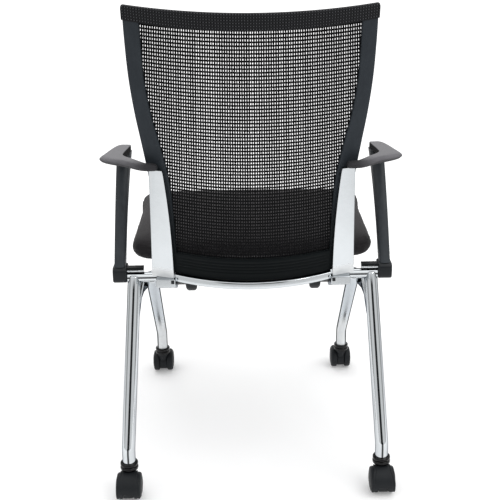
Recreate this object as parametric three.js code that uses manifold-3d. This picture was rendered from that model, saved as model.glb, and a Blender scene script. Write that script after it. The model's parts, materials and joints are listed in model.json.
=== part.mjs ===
// A mesh-back nesting chair with a flip-up seat, loop arms and twin-wheel casters.
// Units are millimetres. +Z is up, the chair faces -Y and the sitter's left is +X.
// The pieces are drawn with y = 0 on the axis of the beam that the seat turns on, and the
// whole chair is then slid along Y so that its outline is centred on the origin.

import * as THREE from "three";
import { mergeVertices } from "three/addons/utils/BufferGeometryUtils.js";
import Module from "manifold-3d";

const wasm = await Module();
wasm.setup();

// Fits
const SEAT_GAP = 0.3; // between pieces that touch
const RUNNING_GAP = 0.4; // between a turning piece and its neighbour
const OVERRUN = 2; // how far a cutting shape runs past what it cuts
const MERGE_TOLERANCE = 0.0001; // corners closer than this are one corner

// Hub: the axis that the seat, the legs and the back meet on
const HUB_HEIGHT = 411;
const BEAM_RADIUS = 16;
const BEAM_WALL = 2;
const STUB_RADIUS = 10;
const STUB_INNER_END = 183;
const STUB_LENGTH = 59.7;
const ROUND_SIDES = 20;
const BORE_SIDES = 24;

// Legs: bent steel tube
const LEG_RADIUS = 12.7;
const LEG_WALL = 1.5;
const LEG_BEND_RADIUS = 50;
const LEG_SIDES = 14;
const LEG_BEND_STEPS = 4;
const FRONT_STEM_SPREAD = 220;
const REAR_STEM_SPREAD = 246;
const FRONT_STEM_REACH = 390;
const REAR_STEM_REACH = 101;
const FRONT_KNEE_HEIGHT = 107;
const REAR_KNEE_HEIGHT = 92;

// Web between the two leg heads
const GUSSET_THICKNESS = 8;
const GUSSET_DROP = 78;
const GUSSET_ARCH_SHARE = 0.42;

// Casters
const WHEEL_RADIUS = 25;
const WHEEL_WIDTH = 15.5;
const WHEEL_EDGE = 5;
const WHEEL_EDGE_STEP = 2.5;
const WHEEL_DOME = 1.7;
const WHEEL_INNER_BEVEL = 1.25;
const WHEEL_FACE_RADIUS = 12.5;
const WHEEL_SIDES = 16;
const CASTER_WIDTH = 50;
const CASTER_TRAIL = 15;
const AXLE_RADIUS = 3;
const AXLE_DEPTH_IN_WHEEL = 10;
const HOOD_CLEARANCE = 0.9;
const HOOD_THICKNESS = 1.9;
const HOOD_WIDTH = 46;
const HOOD_REAR_ANGLE = -32;
const HOOD_FRONT_ANGLE = 112;
const HOOD_STEPS = 9;
const BODY_RADIUS = 21;
const BOSS_RADIUS = 13;
const BOSS_FOOT_RISE = 10.5;
const STEM_RADIUS = 5.5;
const STEM_LENGTH = 26;
const SMALL_SIDES = 12;

// Sockets that join the casters to the legs
const SOCKET_RADIUS = 17.5;
const SOCKET_HEIGHT = 16;
const SOCKET_FLOOR = 4;
const SOCKET_RIB = 1.2;
const SOCKET_SPIGOT = 24;
const SOCKET_SIDES = 14;

// Back: a curved ring of rails that holds the net
const BACK_HALF_WIDTH = 209.5;
const BACK_FOOT_RISE = 27;
const BACK_HEIGHT = 504;
const BACK_SETBACK = 47;
const BACK_LEAN = 103.5;
const BACK_LEAN_CURVE_SHARE = 1.2;
const BACK_SAG_FOOT = 30;
const BACK_SAG_TOP = 36;
const TOP_DIP = 12;
const FOOT_DIP = 8;
const RAIL_WIDTH = 28;
const RAIL_DEPTH = 17;
const TOP_RAIL_HEIGHT = 20;
const FOOT_RAIL_HEIGHT = 44;
const TOP_CORNER_RADIUS = 10;
const FOOT_CORNER_RADIUS = 26;
const RAIL_SIDE_STEPS = 14;
const RAIL_CROSS_STEPS = 12;
const RAIL_CORNER_STEPS = 3;
const RAIL_REACH_SHARES = [0.84, 0.849, 0.861, 0.885, 0.923, 0.964, 0.991, 1, 1];
const RAIL_WIDTH_SHARES = [1.29, 1.26, 1.29, 1.32, 1.2, 1.04, 0.97, 0.99, 1];
const RAIL_SECTION_SHARES = [
  [0, 0.3], [0, 0.7], [0.14, 1], [0.86, 1], [1, 0.7], [1, 0.3], [0.86, 0], [0.14, 0],
];

// Mesh wrapped over the top rail
const BAND_THICKNESS = 1.5;
const BAND_HEIGHT_AT_END = 25;
const BAND_HEIGHT_AT_MIDDLE = 29;
const BAND_STEPS = 16;

// Net
const NET_COLUMNS = 10;
const NET_ROWS = 14;
const NET_THICKNESS = 1.6;
const NET_STRAND_SHARE = 0.34;
const NET_DEPTH_SHARE = 0.55;
const NET_TUCK = 3;

// Chrome carrier of the back
const UPRIGHT_FOOT_RISE = 20.3;
const UPRIGHT_HEIGHT = 218.1;
const UPRIGHT_THICKNESS = 10;
const UPRIGHT_CROWN = 2;
const UPRIGHT_TOP_INNER = 159;
const UPRIGHT_TOP_WIDTH = 25;
const UPRIGHT_FOOT_INNER = 149;
const UPRIGHT_FOOT_WIDTH = 42;
const UPRIGHT_BEVEL_SHARE = 0.2;
const UPRIGHT_STEPS = 8;
const CROSSBAR_HEIGHT = 14;
const CROSSBAR_DEPTH = 13;
const CROSSBAR_SETBACK = 8;
const CROSSBAR_STEPS = 14;
const EYE_WALL = 5.5;
const EYE_WIDTH = 36;
const EYE_MARGIN = 1;
const EYE_FOOT_ANGLE = 315;
const EYE_STEPS = 16;
const BRACKET_REACH = 66;
const BRACKET_HEIGHT = 16;
const BRACKET_BEND_SHARE = 0.5;
const SCREW_SIZE = 6;
const SCREW_DEPTH = 3;
const SCREW_MARGIN = 1.5;

// Arms
const CAP_WIDTH = 27;
const CAP_HEIGHT = 32;
const CAP_DEPTH = 38;
const CAP_FORWARD = 7;
const CAP_RISE = 7;
const CAP_CORNER = 9;
const CAP_CORNER_STEPS = 4;
const ARM_BAR_HEIGHT = 11;
const ARM_BAR_DEPTH = 14;
const ARM_BAR_LENGTH = 32;
const POST_FOOT_HALF_WIDTH = 11;
const POST_FOOT_HALF_DEPTH = 15;
const POST_TOP_INSET = 0.9;
const POST_TOP_FRONT_SHARE = 0.094;
const POST_TOP_HALF_WIDTH = 14.2;
const POST_TOP_HALF_DEPTH = 24;
const POST_BOW = 10;
const POST_STEPS = 6;
const POST_SECTION_SHARES = [
  [0, -1], [0.75, -0.6], [1, 0], [0.75, 0.6], [0, 1], [-0.75, 0.6], [-1, 0], [-0.75, -0.6],
];
const ARM_THICKNESS = 14;
const ARM_FRONT_RISE = 225;
const ARM_OVERHANG = 27.5;
const ARM_FRONT = -175;
const ARM_TIP_INSET = 7.3;
const ARM_TIP_WRAP = 26.2;
const ARM_SLOPE_SHARE = 0.1057;
const ARM_SECTION_SHARES = [
  [0, 0.45], [0.15, 0], [0.85, 0], [1, 0.45], [1, 0.65], [0.85, 1], [0.15, 1], [0, 0.65],
];
// Stations across the armrest from its front to its rear tip. Each holds the inner end of the
// section and then the outer end, as shares of the way out from the tip and of the length, and
// how far its top is below the sloping plane of the arm, as a share of the thickness.
const ARM_STATION_SHARES = [
  [0.7093, 0.01, 0.7809, 0.007, 0.28],
  [0.6691, 0.06, 0.8748, 0.05, 0.07],
  [0.6624, 0.14, 0.9285, 0.13, 0],
  [0.6646, 0.262, 0.9598, 0.262, 0],
  [0.6691, 0.4199, 0.9843, 0.4369, 0],
  [0.6624, 0.5419, 1, 0.5839, 0],
  [0.6311, 0.6049, 0.9441, 0.6609, 0],
  [0.5596, 0.6779, 0.7809, 0.7449, 0],
  [0.4411, 0.7689, 0.5909, 0.8179, 0],
  [0.3382, 0.8429, 0.4724, 0.8879, 0.07],
  [0.2756, 0.8948, 0.3695, 0.9508, 0.14],
  [0.2443, 0.9198, 0.26, 0.9928, 0.28],
  [0.1504, 0.9198, 0.1415, 0.9998, 0.43],
  [0.0386, 0.9198, 0.0319, 0.9898, 0.53],
  [0.0006, 0.9298, 0.0006, 0.9688, 0.64],
];

// Seat
const SEAT_REAR_HALF_WIDTH = 239.5;
const SEAT_FRONT_HALF_WIDTH = 246;
const SEAT_FLARE_LENGTH = 75;
const SEAT_REAR = -33;
const SEAT_FRONT = -405;
const SEAT_FRONT_BOW = 8;
const SEAT_FRONT_CORNER = 52;
const SEAT_REAR_CORNER = 50;
const SEAT_CORNER_SHARE = 0.16;
const SEAT_LEAST_CORNER = 20;
const PAN_THICKNESS = 9;
const PAN_INSET = 16;
const PAN_RISE = 5.5;
const CUSHION_HEIGHT = 46;
const CUSHION_CROWN = 4;
const CUSHION_FRONT_DROP = 4;
const CUSHION_DROP_SHARE = 4;
const CUSHION_POINTS = 48;
// Levels of the cushion from its base up, in shares of its height: how far each level is drawn
// in from the seat's outline, its height, and then its share of the crown.
const CUSHION_LEVEL_SHARES = [
  [0.34, 0, 0],
  [0.11, 0.14, 0],
  [0.01, 0.34, 0],
  [0, 0.5, 0],
  [0.045, 0.6, 0],
  [0.03, 0.67, 0],
  [0.16, 0.87, 0],
  [0.48, 1, 0],
  [1.3, 1, 0.6],
  [2.9, 1, 1],
];
const HINGE_SPREAD = 119;
const HINGE_WIDTH = 22;
const HINGE_RADIUS = 24;
const HINGE_DROP = 4;
const HINGE_ARM_LENGTH = 96;
const HINGE_ARM_THICKNESS = 9;
const HINGE_FOOT_ANGLE = -108;
const HINGE_HEAD_ANGLE = 153;

// Worked-out sizes
const wheelInradius = WHEEL_RADIUS * Math.cos(Math.PI / WHEEL_SIDES);
const hoodRadius = WHEEL_RADIUS + HOOD_CLEARANCE + HOOD_THICKNESS;
const socketBottom = wheelInradius + hoodRadius + RUNNING_GAP;
const socketTop = socketBottom + SOCKET_HEIGHT;
const stubOuterEnd = STUB_INNER_END + STUB_LENGTH;
const frontLegHead = STUB_INNER_END + SEAT_GAP + LEG_RADIUS;
const rearLegHead = stubOuterEnd - SEAT_GAP - LEG_RADIUS;
const capInner = stubOuterEnd + SEAT_GAP;
const capMiddle = HUB_HEIGHT + CAP_RISE;
const capTop = capMiddle + CAP_HEIGHT / 2;
const eyeRadius = BEAM_RADIUS + SEAT_GAP + EYE_WALL;
const eyeInner = STUB_INNER_END - EYE_MARGIN - EYE_WIDTH;
const backFoot = HUB_HEIGHT + BACK_FOOT_RISE;
const backTop = backFoot + BACK_HEIGHT;
const uprightFoot = HUB_HEIGHT + UPRIGHT_FOOT_RISE;
const uprightTop = uprightFoot + UPRIGHT_HEIGHT;
const panBottom = HUB_HEIGHT + PAN_RISE;
const postMiddle = capInner + CAP_WIDTH / 2;
const armFrontTop = HUB_HEIGHT + ARM_FRONT_RISE;

// Materials
const chrome = new THREE.MeshStandardMaterial({ color: 0xd8dadd, roughness: 0.12, metalness: 1 });
const slatePlastic = new THREE.MeshStandardMaterial({ color: 0x34373b, roughness: 0.5, metalness: 0 });
const armPlastic = new THREE.MeshStandardMaterial({ color: 0x3f4246, roughness: 0.48, metalness: 0 });
const blackPlastic = new THREE.MeshStandardMaterial({ color: 0x191a1c, roughness: 0.42, metalness: 0 });
const casterPlastic = new THREE.MeshStandardMaterial({ color: 0x26282b, roughness: 0.5, metalness: 0 });
const blackSteel = new THREE.MeshStandardMaterial({ color: 0x141415, roughness: 0.4, metalness: 0.6 });
const plainSteel = new THREE.MeshStandardMaterial({ color: 0x9a9c9f, roughness: 0.3, metalness: 1 });
const meshFabric = new THREE.MeshStandardMaterial({ color: 0x0f0f10, roughness: 0.85, metalness: 0 });
const seatFabric = new THREE.MeshStandardMaterial({ color: 0x1b1818, roughness: 0.95, metalness: 0 });

const chair = new THREE.Group();

function addPiece(name, geometry, material) {
  const mesh = new THREE.Mesh(geometry, material);
  mesh.name = name;
  chair.add(mesh);
}

// Geometry helpers

function signedVolume(positions, indices) {
  const corner = (k) => new THREE.Vector3().fromArray(positions, 3 * indices[k]);
  let volume = 0;
  for (let k = 0; k < indices.length; k += 3) {
    volume += corner(k).dot(corner(k + 1).cross(corner(k + 2)));
  }
  return volume;
}

function facingOut(positions, indices) {
  const ordered = [...indices];
  if (signedVolume(positions, ordered) < 0) {
    for (let k = 0; k < ordered.length; k += 3) {
      [ordered[k + 1], ordered[k + 2]] = [ordered[k + 2], ordered[k + 1]];
    }
  }
  const geometry = new THREE.BufferGeometry();
  geometry.setAttribute("position", new THREE.Float32BufferAttribute(positions, 3));
  geometry.setIndex(ordered);
  return geometry;
}

function plain(geometry) {
  const bare = geometry.clone();
  bare.deleteAttribute("normal");
  bare.deleteAttribute("uv");
  const merged = mergeVertices(bare, MERGE_TOLERANCE);
  return facingOut([...merged.attributes.position.array], [...merged.index.array]);
}

function mirrored(geometry) {
  const flipped = geometry.clone().scale(-1, 1, 1);
  return facingOut([...flipped.attributes.position.array], [...flipped.index.array]);
}

function toSolid(geometry) {
  const merged = plain(geometry);
  return new wasm.Manifold(new wasm.Mesh({
    numProp: 3,
    vertProperties: new Float32Array(merged.attributes.position.array),
    triVerts: new Uint32Array(merged.index.array),
  }));
}

function fromSolid(solid) {
  const mesh = solid.getMesh();
  return facingOut([...mesh.vertProperties], [...mesh.triVerts]);
}

function cut(geometry, ...tools) {
  return fromSolid(tools.reduce((rest, tool) => rest.subtract(toSolid(tool)), toSolid(geometry)));
}

function joined(...geometries) {
  return fromSolid(geometries.map(toSolid).reduce((whole, solid) => whole.add(solid)));
}

// Skin over rings of points that all have the same count, closed by flat ends or onto itself.
function loft(rings, closed = false) {
  const sides = rings[0].length;
  const positions = rings.flat().flatMap((point) => point.toArray());
  const indices = [];
  const spans = closed ? rings.length : rings.length - 1;
  for (let i = 0; i < spans; i++) {
    const here = i * sides;
    const next = ((i + 1) % rings.length) * sides;
    for (let j = 0; j < sides; j++) {
      const k = (j + 1) % sides;
      indices.push(here + j, here + k, next + k);
      indices.push(here + j, next + k, next + j);
    }
  }
  if (!closed) {
    const last = (rings.length - 1) * sides;
    for (let j = 1; j < sides - 1; j++) {
      indices.push(0, j + 1, j);
      indices.push(last, last + j, last + j + 1);
    }
  }
  return facingOut(positions, indices);
}

// Rings of an outline carried along a path, each square to the path there.
function sweep(path, outlineAt, sideways) {
  const rings = path.map((point, i) => {
    const before = path[Math.max(i - 1, 0)];
    const after = path[Math.min(i + 1, path.length - 1)];
    const along = after.clone().sub(before).normalize();
    const across = sideways.clone().addScaledVector(along, -sideways.dot(along)).normalize();
    const upright = along.clone().cross(across);
    return outlineAt(i).map(([a, b]) =>
      point.clone().addScaledVector(across, a).addScaledVector(upright, b));
  });
  return loft(rings);
}

function circle(radius, sides) {
  return Array.from({ length: sides }, (_, k) => {
    const angle = ((k + 0.5) / sides) * 2 * Math.PI;
    return [radius * Math.cos(angle), radius * Math.sin(angle)];
  });
}

// A polyline whose one inner corner is rounded with an arc.
function bentPath(start, corner, end, radius, steps) {
  const into = start.clone().sub(corner).normalize();
  const out = end.clone().sub(corner).normalize();
  const turn = Math.PI - into.angleTo(out);
  const trim = radius * Math.tan(turn / 2);
  const centre = into.clone().add(out).normalize()
    .multiplyScalar(radius / Math.cos(turn / 2)).add(corner);
  const from = corner.clone().addScaledVector(into, trim).sub(centre);
  const to = corner.clone().addScaledVector(out, trim).sub(centre);
  const points = [start];
  for (let k = 0; k <= steps; k++) {
    const share = k / steps;
    const a = Math.sin((1 - share) * turn) / Math.sin(turn);
    const b = Math.sin(share * turn) / Math.sin(turn);
    points.push(centre.clone().addScaledVector(from, a).addScaledVector(to, b));
  }
  points.push(end);
  return points;
}

// A bar of an outline drawn in (y, z), running along X from one place to another.
function barAlongX(shape, from, to, segments = ROUND_SIDES) {
  const geometry = new THREE.ExtrudeGeometry(shape, {
    depth: to - from,
    bevelEnabled: false,
    curveSegments: segments,
  });
  geometry.rotateY(Math.PI / 2).rotateX(Math.PI / 2).translate(from, 0, 0);
  return plain(geometry);
}

function rodAlongX(radius, from, to, y, z, sides = ROUND_SIDES) {
  const geometry = new THREE.CylinderGeometry(radius, radius, to - from, sides);
  geometry.rotateZ(Math.PI / 2).translate((from + to) / 2, y, z);
  return plain(geometry);
}

function interpolate(shares, t) {
  const place = THREE.MathUtils.clamp(t, 0, 1) * (shares.length - 1);
  const k = Math.min(Math.floor(place), shares.length - 2);
  const f = place - k;
  const [p0, p1, p2, p3] = [k - 1, k, k + 1, k + 2].map((n) =>
    shares[THREE.MathUtils.clamp(n, 0, shares.length - 1)]);
  const slopeIn = (p2 - p0) / 2;
  const slopeOut = (p3 - p1) / 2;
  const rise = p2 - p1;
  return p1 + f * slopeIn + f * f * (3 * rise - 2 * slopeIn - slopeOut)
    + f * f * f * (slopeIn + slopeOut - 2 * rise);
}

// Back surface

const heightShare = (z) => (z - backFoot) / (backTop - backFoot);
const outerReach = (z) => BACK_HALF_WIDTH * interpolate(RAIL_REACH_SHARES, heightShare(z));
const railWidth = (z) => RAIL_WIDTH * interpolate(RAIL_WIDTH_SHARES, heightShare(z));
const innerReach = (z) => outerReach(z) - railWidth(z);

// Y of the back's rear face, which leans back as it rises and bows to the rear in plan.
function backY(x, z) {
  const t = Math.max(heightShare(z), 0);
  const railY = BACK_SETBACK + BACK_LEAN * t ** BACK_LEAN_CURVE_SHARE;
  const sag = THREE.MathUtils.lerp(BACK_SAG_FOOT, BACK_SAG_TOP, t);
  const middle = outerReach(z) - railWidth(z) / 2;
  return railY + sag * (1 - (x / middle) ** 2);
}

const backPoint = (x, z, depth) => new THREE.Vector3(x, backY(x, z) - depth, z);
const topEdge = (x) => backTop - TOP_DIP * (1 - (x / BACK_HALF_WIDTH) ** 2);
const footEdge = (x) => backFoot - FOOT_DIP * (1 - (x / innerReach(backFoot)) ** 2);

// Outline of the ring in (x, z), as pairs of an outer and an inner point. A positive grow
// makes the rails wider and taller on every side.
function ringPairs(grow) {
  const topOut = TOP_CORNER_RADIUS;
  const footOut = FOOT_CORNER_RADIUS;
  const lowOuter = backFoot + footOut;
  const highOuter = backTop - topOut;
  const lowInner = backFoot + FOOT_RAIL_HEIGHT + grow;
  const railDrop = BAND_THICKNESS + SEAT_GAP;
  const highInner = topEdge(innerReach(backTop)) - railDrop - TOP_RAIL_HEIGHT - grow;
  const cornerRise = (k) => (OVERRUN * k) / RAIL_CORNER_STEPS;
  const half = [];
  for (let k = 0; k <= RAIL_CROSS_STEPS / 2; k++) {
    const share = k / (RAIL_CROSS_STEPS / 2);
    const xOuter = share * (outerReach(lowOuter) - footOut);
    const xInner = share * (innerReach(lowInner) - grow);
    half.push([[xOuter, footEdge(xOuter) - grow], [xInner, footEdge(xInner) + lowInner - backFoot]]);
  }
  for (let k = 1; k < RAIL_CORNER_STEPS; k++) {
    const angle = (k / RAIL_CORNER_STEPS) * (Math.PI / 2);
    const xOuter = outerReach(lowOuter) - footOut + (footOut + grow) * Math.sin(angle);
    const zOuter = lowOuter - (footOut + grow) * Math.cos(angle);
    const zInner = lowInner + cornerRise(k);
    half.push([[xOuter, zOuter], [innerReach(zInner) - grow, zInner]]);
  }
  for (let k = 0; k <= RAIL_SIDE_STEPS; k++) {
    const share = k / RAIL_SIDE_STEPS;
    const zOuter = THREE.MathUtils.lerp(lowOuter, highOuter, share);
    const zInner = THREE.MathUtils.lerp(lowInner + OVERRUN, highInner - OVERRUN, share);
    half.push([[outerReach(zOuter) + grow, zOuter], [innerReach(zInner) - grow, zInner]]);
  }
  for (let k = 1; k < RAIL_CORNER_STEPS; k++) {
    const angle = (k / RAIL_CORNER_STEPS) * (Math.PI / 2);
    const xOuter = BACK_HALF_WIDTH - topOut + (topOut + grow) * Math.cos(angle);
    const zOuter = highOuter + (topOut - railDrop + grow) * Math.sin(angle);
    const zInner = highInner - OVERRUN + cornerRise(k);
    half.push([[xOuter, zOuter], [innerReach(zInner) - grow, zInner]]);
  }
  for (let k = RAIL_CROSS_STEPS / 2; k >= 0; k--) {
    const share = k / (RAIL_CROSS_STEPS / 2);
    const xOuter = share * (BACK_HALF_WIDTH - topOut);
    const xInner = share * (innerReach(highInner) - grow);
    half.push([[xOuter, topEdge(xOuter) - railDrop + grow],
      [xInner, topEdge(xInner) - railDrop - TOP_RAIL_HEIGHT - grow]]);
  }
  const other = half.slice(1, -1).reverse().map((pair) => pair.map(([x, z]) => [-x, z]));
  return [...half, ...other];
}

function ringSolid(grow) {
  const rings = ringPairs(grow).map(([[xOuter, zOuter], [xInner, zInner]]) =>
    RAIL_SECTION_SHARES.map(([across, through]) => {
      const x = THREE.MathUtils.lerp(xOuter, xInner, across);
      const z = THREE.MathUtils.lerp(zOuter, zInner, across);
      return backPoint(x, z, THREE.MathUtils.lerp(-grow, RAIL_DEPTH + grow, through));
    }));
  return loft(rings, true);
}

// Block round the top rail, this much thicker than the rail on every side, down to the
// lower edge of the mesh that wraps it.
function railWrap(skin, rounding, extraDrop) {
  const rings = [];
  for (let k = 0; k <= BAND_STEPS; k++) {
    const across = (2 * k) / BAND_STEPS - 1;
    const x = across * (BACK_HALF_WIDTH + skin);
    const top = topEdge(x) - BAND_THICKNESS - SEAT_GAP + skin;
    const height = THREE.MathUtils.lerp(BAND_HEIGHT_AT_MIDDLE, BAND_HEIGHT_AT_END, across ** 2);
    const low = topEdge(x) - height - extraDrop;
    rings.push([
      backPoint(x, low, -skin),
      backPoint(x, top - rounding, -skin),
      backPoint(x, top, rounding - skin),
      backPoint(x, top, RAIL_DEPTH + skin - rounding),
      backPoint(x, top - rounding, RAIL_DEPTH + skin),
      backPoint(x, low, RAIL_DEPTH + skin),
    ]);
  }
  return loft(rings);
}

function topBand(ringWithRoom) {
  const room = railWrap(SEAT_GAP, SEAT_GAP, OVERRUN);
  return cut(railWrap(BAND_THICKNESS + SEAT_GAP, BAND_THICKNESS, 0), room, ringWithRoom);
}

// The net is one sheet with an opening in every odd column of every odd row.
function netSheet(ringWithRoom) {
  const columnEdges = [0];
  for (let k = 0; k < NET_COLUMNS; k++) {
    columnEdges.push((k + NET_STRAND_SHARE) / (NET_COLUMNS + NET_STRAND_SHARE));
    columnEdges.push((k + 1) / (NET_COLUMNS + NET_STRAND_SHARE));
  }
  columnEdges.push(1);
  const rowEdges = [0];
  for (let k = 0; k < NET_ROWS; k++) {
    rowEdges.push((k + NET_STRAND_SHARE) / (NET_ROWS + NET_STRAND_SHARE));
    rowEdges.push((k + 1) / (NET_ROWS + NET_STRAND_SHARE));
  }
  rowEdges.push(1);
  const lowest = backFoot + FOOT_RAIL_HEIGHT - NET_TUCK;
  const highest = backTop - BAND_THICKNESS - SEAT_GAP - TOP_RAIL_HEIGHT + NET_TUCK;
  const depth = RAIL_DEPTH * NET_DEPTH_SHARE;
  const at = (i, j, layer) => {
    const across = 2 * columnEdges[i] - 1;
    const level = THREE.MathUtils.lerp(lowest, highest, rowEdges[j]);
    const x = across * (innerReach(level) + NET_TUCK);
    const low = footEdge(x) + FOOT_RAIL_HEIGHT - NET_TUCK;
    const high = topEdge(x) - (backTop - highest);
    const z = THREE.MathUtils.lerp(low, high, rowEdges[j]);
    return backPoint(x, z, depth + layer * NET_THICKNESS);
  };
  const wide = columnEdges.length;
  const tall = rowEdges.length;
  const positions = [];
  for (const layer of [0, 1]) {
    for (let j = 0; j < tall; j++) {
      for (let i = 0; i < wide; i++) {
        positions.push(...at(i, j, layer).toArray());
      }
    }
  }
  const id = (i, j, layer) => layer * wide * tall + j * wide + i;
  const isCloth = (i, j) => i >= 0 && j >= 0 && i < wide - 1 && j < tall - 1 && !(i % 2 && j % 2);
  const indices = [];
  const quad = (a, b, c, d) => indices.push(a, b, c, a, c, d);
  for (let j = 0; j < tall - 1; j++) {
    for (let i = 0; i < wide - 1; i++) {
      if (!isCloth(i, j)) {
        continue;
      }
      quad(id(i, j, 0), id(i + 1, j, 0), id(i + 1, j + 1, 0), id(i, j + 1, 0));
      quad(id(i, j, 1), id(i, j + 1, 1), id(i + 1, j + 1, 1), id(i + 1, j, 1));
      if (!isCloth(i, j - 1)) {
        quad(id(i, j, 0), id(i, j, 1), id(i + 1, j, 1), id(i + 1, j, 0));
      }
      if (!isCloth(i, j + 1)) {
        quad(id(i, j + 1, 0), id(i + 1, j + 1, 0), id(i + 1, j + 1, 1), id(i, j + 1, 1));
      }
      if (!isCloth(i - 1, j)) {
        quad(id(i, j, 0), id(i, j + 1, 0), id(i, j + 1, 1), id(i, j, 1));
      }
      if (!isCloth(i + 1, j)) {
        quad(id(i + 1, j, 0), id(i + 1, j, 1), id(i + 1, j + 1, 1), id(i + 1, j + 1, 0));
      }
    }
  }
  return cut(facingOut(positions, indices), ringWithRoom);
}

// Carrier

function upright(ringWithRoom) {
  const rings = [];
  for (let k = 0; k <= UPRIGHT_STEPS; k++) {
    const share = k / UPRIGHT_STEPS;
    const z = THREE.MathUtils.lerp(uprightFoot, uprightTop, share);
    const inner = THREE.MathUtils.lerp(UPRIGHT_FOOT_INNER, UPRIGHT_TOP_INNER, share);
    const width = THREE.MathUtils.lerp(UPRIGHT_FOOT_WIDTH, UPRIGHT_TOP_WIDTH, share);
    const level = Math.max(z, backFoot);
    const at = (across, out) => {
      const x = inner + across * width;
      return new THREE.Vector3(x, backY(x, level) + out, z);
    };
    const side = UPRIGHT_THICKNESS - UPRIGHT_CROWN;
    rings.push([
      at(0, -OVERRUN), at(1, -OVERRUN), at(1, side),
      at(1 - UPRIGHT_BEVEL_SHARE, UPRIGHT_THICKNESS), at(UPRIGHT_BEVEL_SHARE, UPRIGHT_THICKNESS),
      at(0, side),
    ]);
  }
  return cut(loft(rings), ringWithRoom);
}

function crossbar(ringWithRoom) {
  const rings = [];
  const end = eyeInner - SEAT_GAP;
  for (let k = 0; k <= CROSSBAR_STEPS; k++) {
    const x = end * ((2 * k) / CROSSBAR_STEPS - 1);
    const middleY = backY(x, backFoot) + CROSSBAR_SETBACK - CROSSBAR_DEPTH / 2;
    const middleZ = footEdge(x) - CROSSBAR_HEIGHT / 2;
    rings.push(RAIL_SECTION_SHARES.map(([across, through]) => new THREE.Vector3(
      x,
      middleY + CROSSBAR_DEPTH * (across - 0.5),
      middleZ + CROSSBAR_HEIGHT * (through - 0.5),
    )));
  }
  return cut(loft(rings), ringWithRoom);
}

function beamBore(radius, from, to) {
  return rodAlongX(radius, from - OVERRUN, to + OVERRUN, 0, HUB_HEIGHT, BORE_SIDES);
}

function uprightBracket() {
  const top = uprightFoot - SEAT_GAP - HUB_HEIGHT;
  const foot = top - BRACKET_HEIGHT;
  const tangent = Math.sqrt(eyeRadius ** 2 - top ** 2);
  const shape = new THREE.Shape();
  shape.absarc(0, 0, eyeRadius, Math.atan2(top, tangent), THREE.MathUtils.degToRad(EYE_FOOT_ANGLE), false);
  shape.quadraticCurveTo(BRACKET_REACH * BRACKET_BEND_SHARE, foot, BRACKET_REACH, foot);
  shape.lineTo(BRACKET_REACH, top);
  shape.closePath();
  const bar = barAlongX(shape, eyeInner, eyeInner + EYE_WIDTH, EYE_STEPS).translate(0, 0, HUB_HEIGHT);
  return cut(bar, beamBore(BEAM_RADIUS + SEAT_GAP, eyeInner, eyeInner + EYE_WIDTH));
}

function bracketScrew() {
  const geometry = new THREE.BoxGeometry(SCREW_SIZE, SCREW_DEPTH, SCREW_SIZE);
  geometry.translate(
    eyeInner + SCREW_MARGIN + SCREW_SIZE / 2,
    BRACKET_REACH + SEAT_GAP + SCREW_DEPTH / 2,
    uprightFoot - SEAT_GAP - SCREW_MARGIN - SCREW_SIZE / 2,
  );
  return plain(geometry);
}

// Frame

function legPath(headSpread, stemSpread, stemY, kneeHeight, foot) {
  return bentPath(
    new THREE.Vector3(headSpread, 0, HUB_HEIGHT),
    new THREE.Vector3(stemSpread, stemY, kneeHeight),
    new THREE.Vector3(stemSpread, stemY, foot),
    LEG_BEND_RADIUS,
    LEG_BEND_STEPS,
  );
}

function legTube(headSpread, stemSpread, stemY, kneeHeight, grow = 0) {
  const sideways = new THREE.Vector3(1, 0, 0);
  const foot = socketBottom + SOCKET_FLOOR + SEAT_GAP;
  const outer = legPath(headSpread, stemSpread, stemY, kneeHeight, foot);
  const outline = circle(LEG_RADIUS + grow, LEG_SIDES);
  return sweep(outer, () => outline, sideways);
}

function leg(headSpread, stemSpread, stemY, kneeHeight) {
  const sideways = new THREE.Vector3(1, 0, 0);
  const foot = socketBottom + SOCKET_FLOOR - OVERRUN;
  const bore = legPath(headSpread, stemSpread, stemY, kneeHeight, foot);
  bore[0].lerp(bore[1], (STUB_RADIUS + LEG_RADIUS) / bore[0].distanceTo(bore[1]));
  const outline = circle(LEG_RADIUS - LEG_WALL, LEG_SIDES);
  const stub = rodAlongX(STUB_RADIUS + SEAT_GAP, STUB_INNER_END - LEG_RADIUS,
    stubOuterEnd + LEG_RADIUS, 0, HUB_HEIGHT);
  return cut(legTube(headSpread, stemSpread, stemY, kneeHeight), sweep(bore, () => outline, sideways), stub);
}

function gusset() {
  const slope = (reach, knee) => reach / (HUB_HEIGHT - knee);
  const rearFoot = slope(REAR_STEM_REACH, REAR_KNEE_HEIGHT) * GUSSET_DROP;
  const frontFoot = -slope(FRONT_STEM_REACH, FRONT_KNEE_HEIGHT) * GUSSET_DROP;
  const shape = new THREE.Shape();
  shape.moveTo(0, 0);
  shape.lineTo(rearFoot, -GUSSET_DROP);
  shape.quadraticCurveTo(0, -GUSSET_DROP * GUSSET_ARCH_SHARE, frontFoot, -GUSSET_DROP);
  shape.closePath();
  const middle = (frontLegHead + rearLegHead) / 2;
  const plate = barAlongX(shape, middle - GUSSET_THICKNESS / 2, middle + GUSSET_THICKNESS / 2, SMALL_SIDES);
  plate.translate(0, 0, HUB_HEIGHT);
  const stub = rodAlongX(STUB_RADIUS + SEAT_GAP, STUB_INNER_END, stubOuterEnd, 0, HUB_HEIGHT);
  const frontLeg = legTube(frontLegHead, FRONT_STEM_SPREAD, -FRONT_STEM_REACH,
    FRONT_KNEE_HEIGHT, SEAT_GAP);
  const rearLeg = legTube(rearLegHead, REAR_STEM_SPREAD, REAR_STEM_REACH,
    REAR_KNEE_HEIGHT, SEAT_GAP);
  return cut(plate, stub, frontLeg, rearLeg);
}

function hubStub() {
  return rodAlongX(STUB_RADIUS, STUB_INNER_END, stubOuterEnd, 0, HUB_HEIGHT);
}

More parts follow.
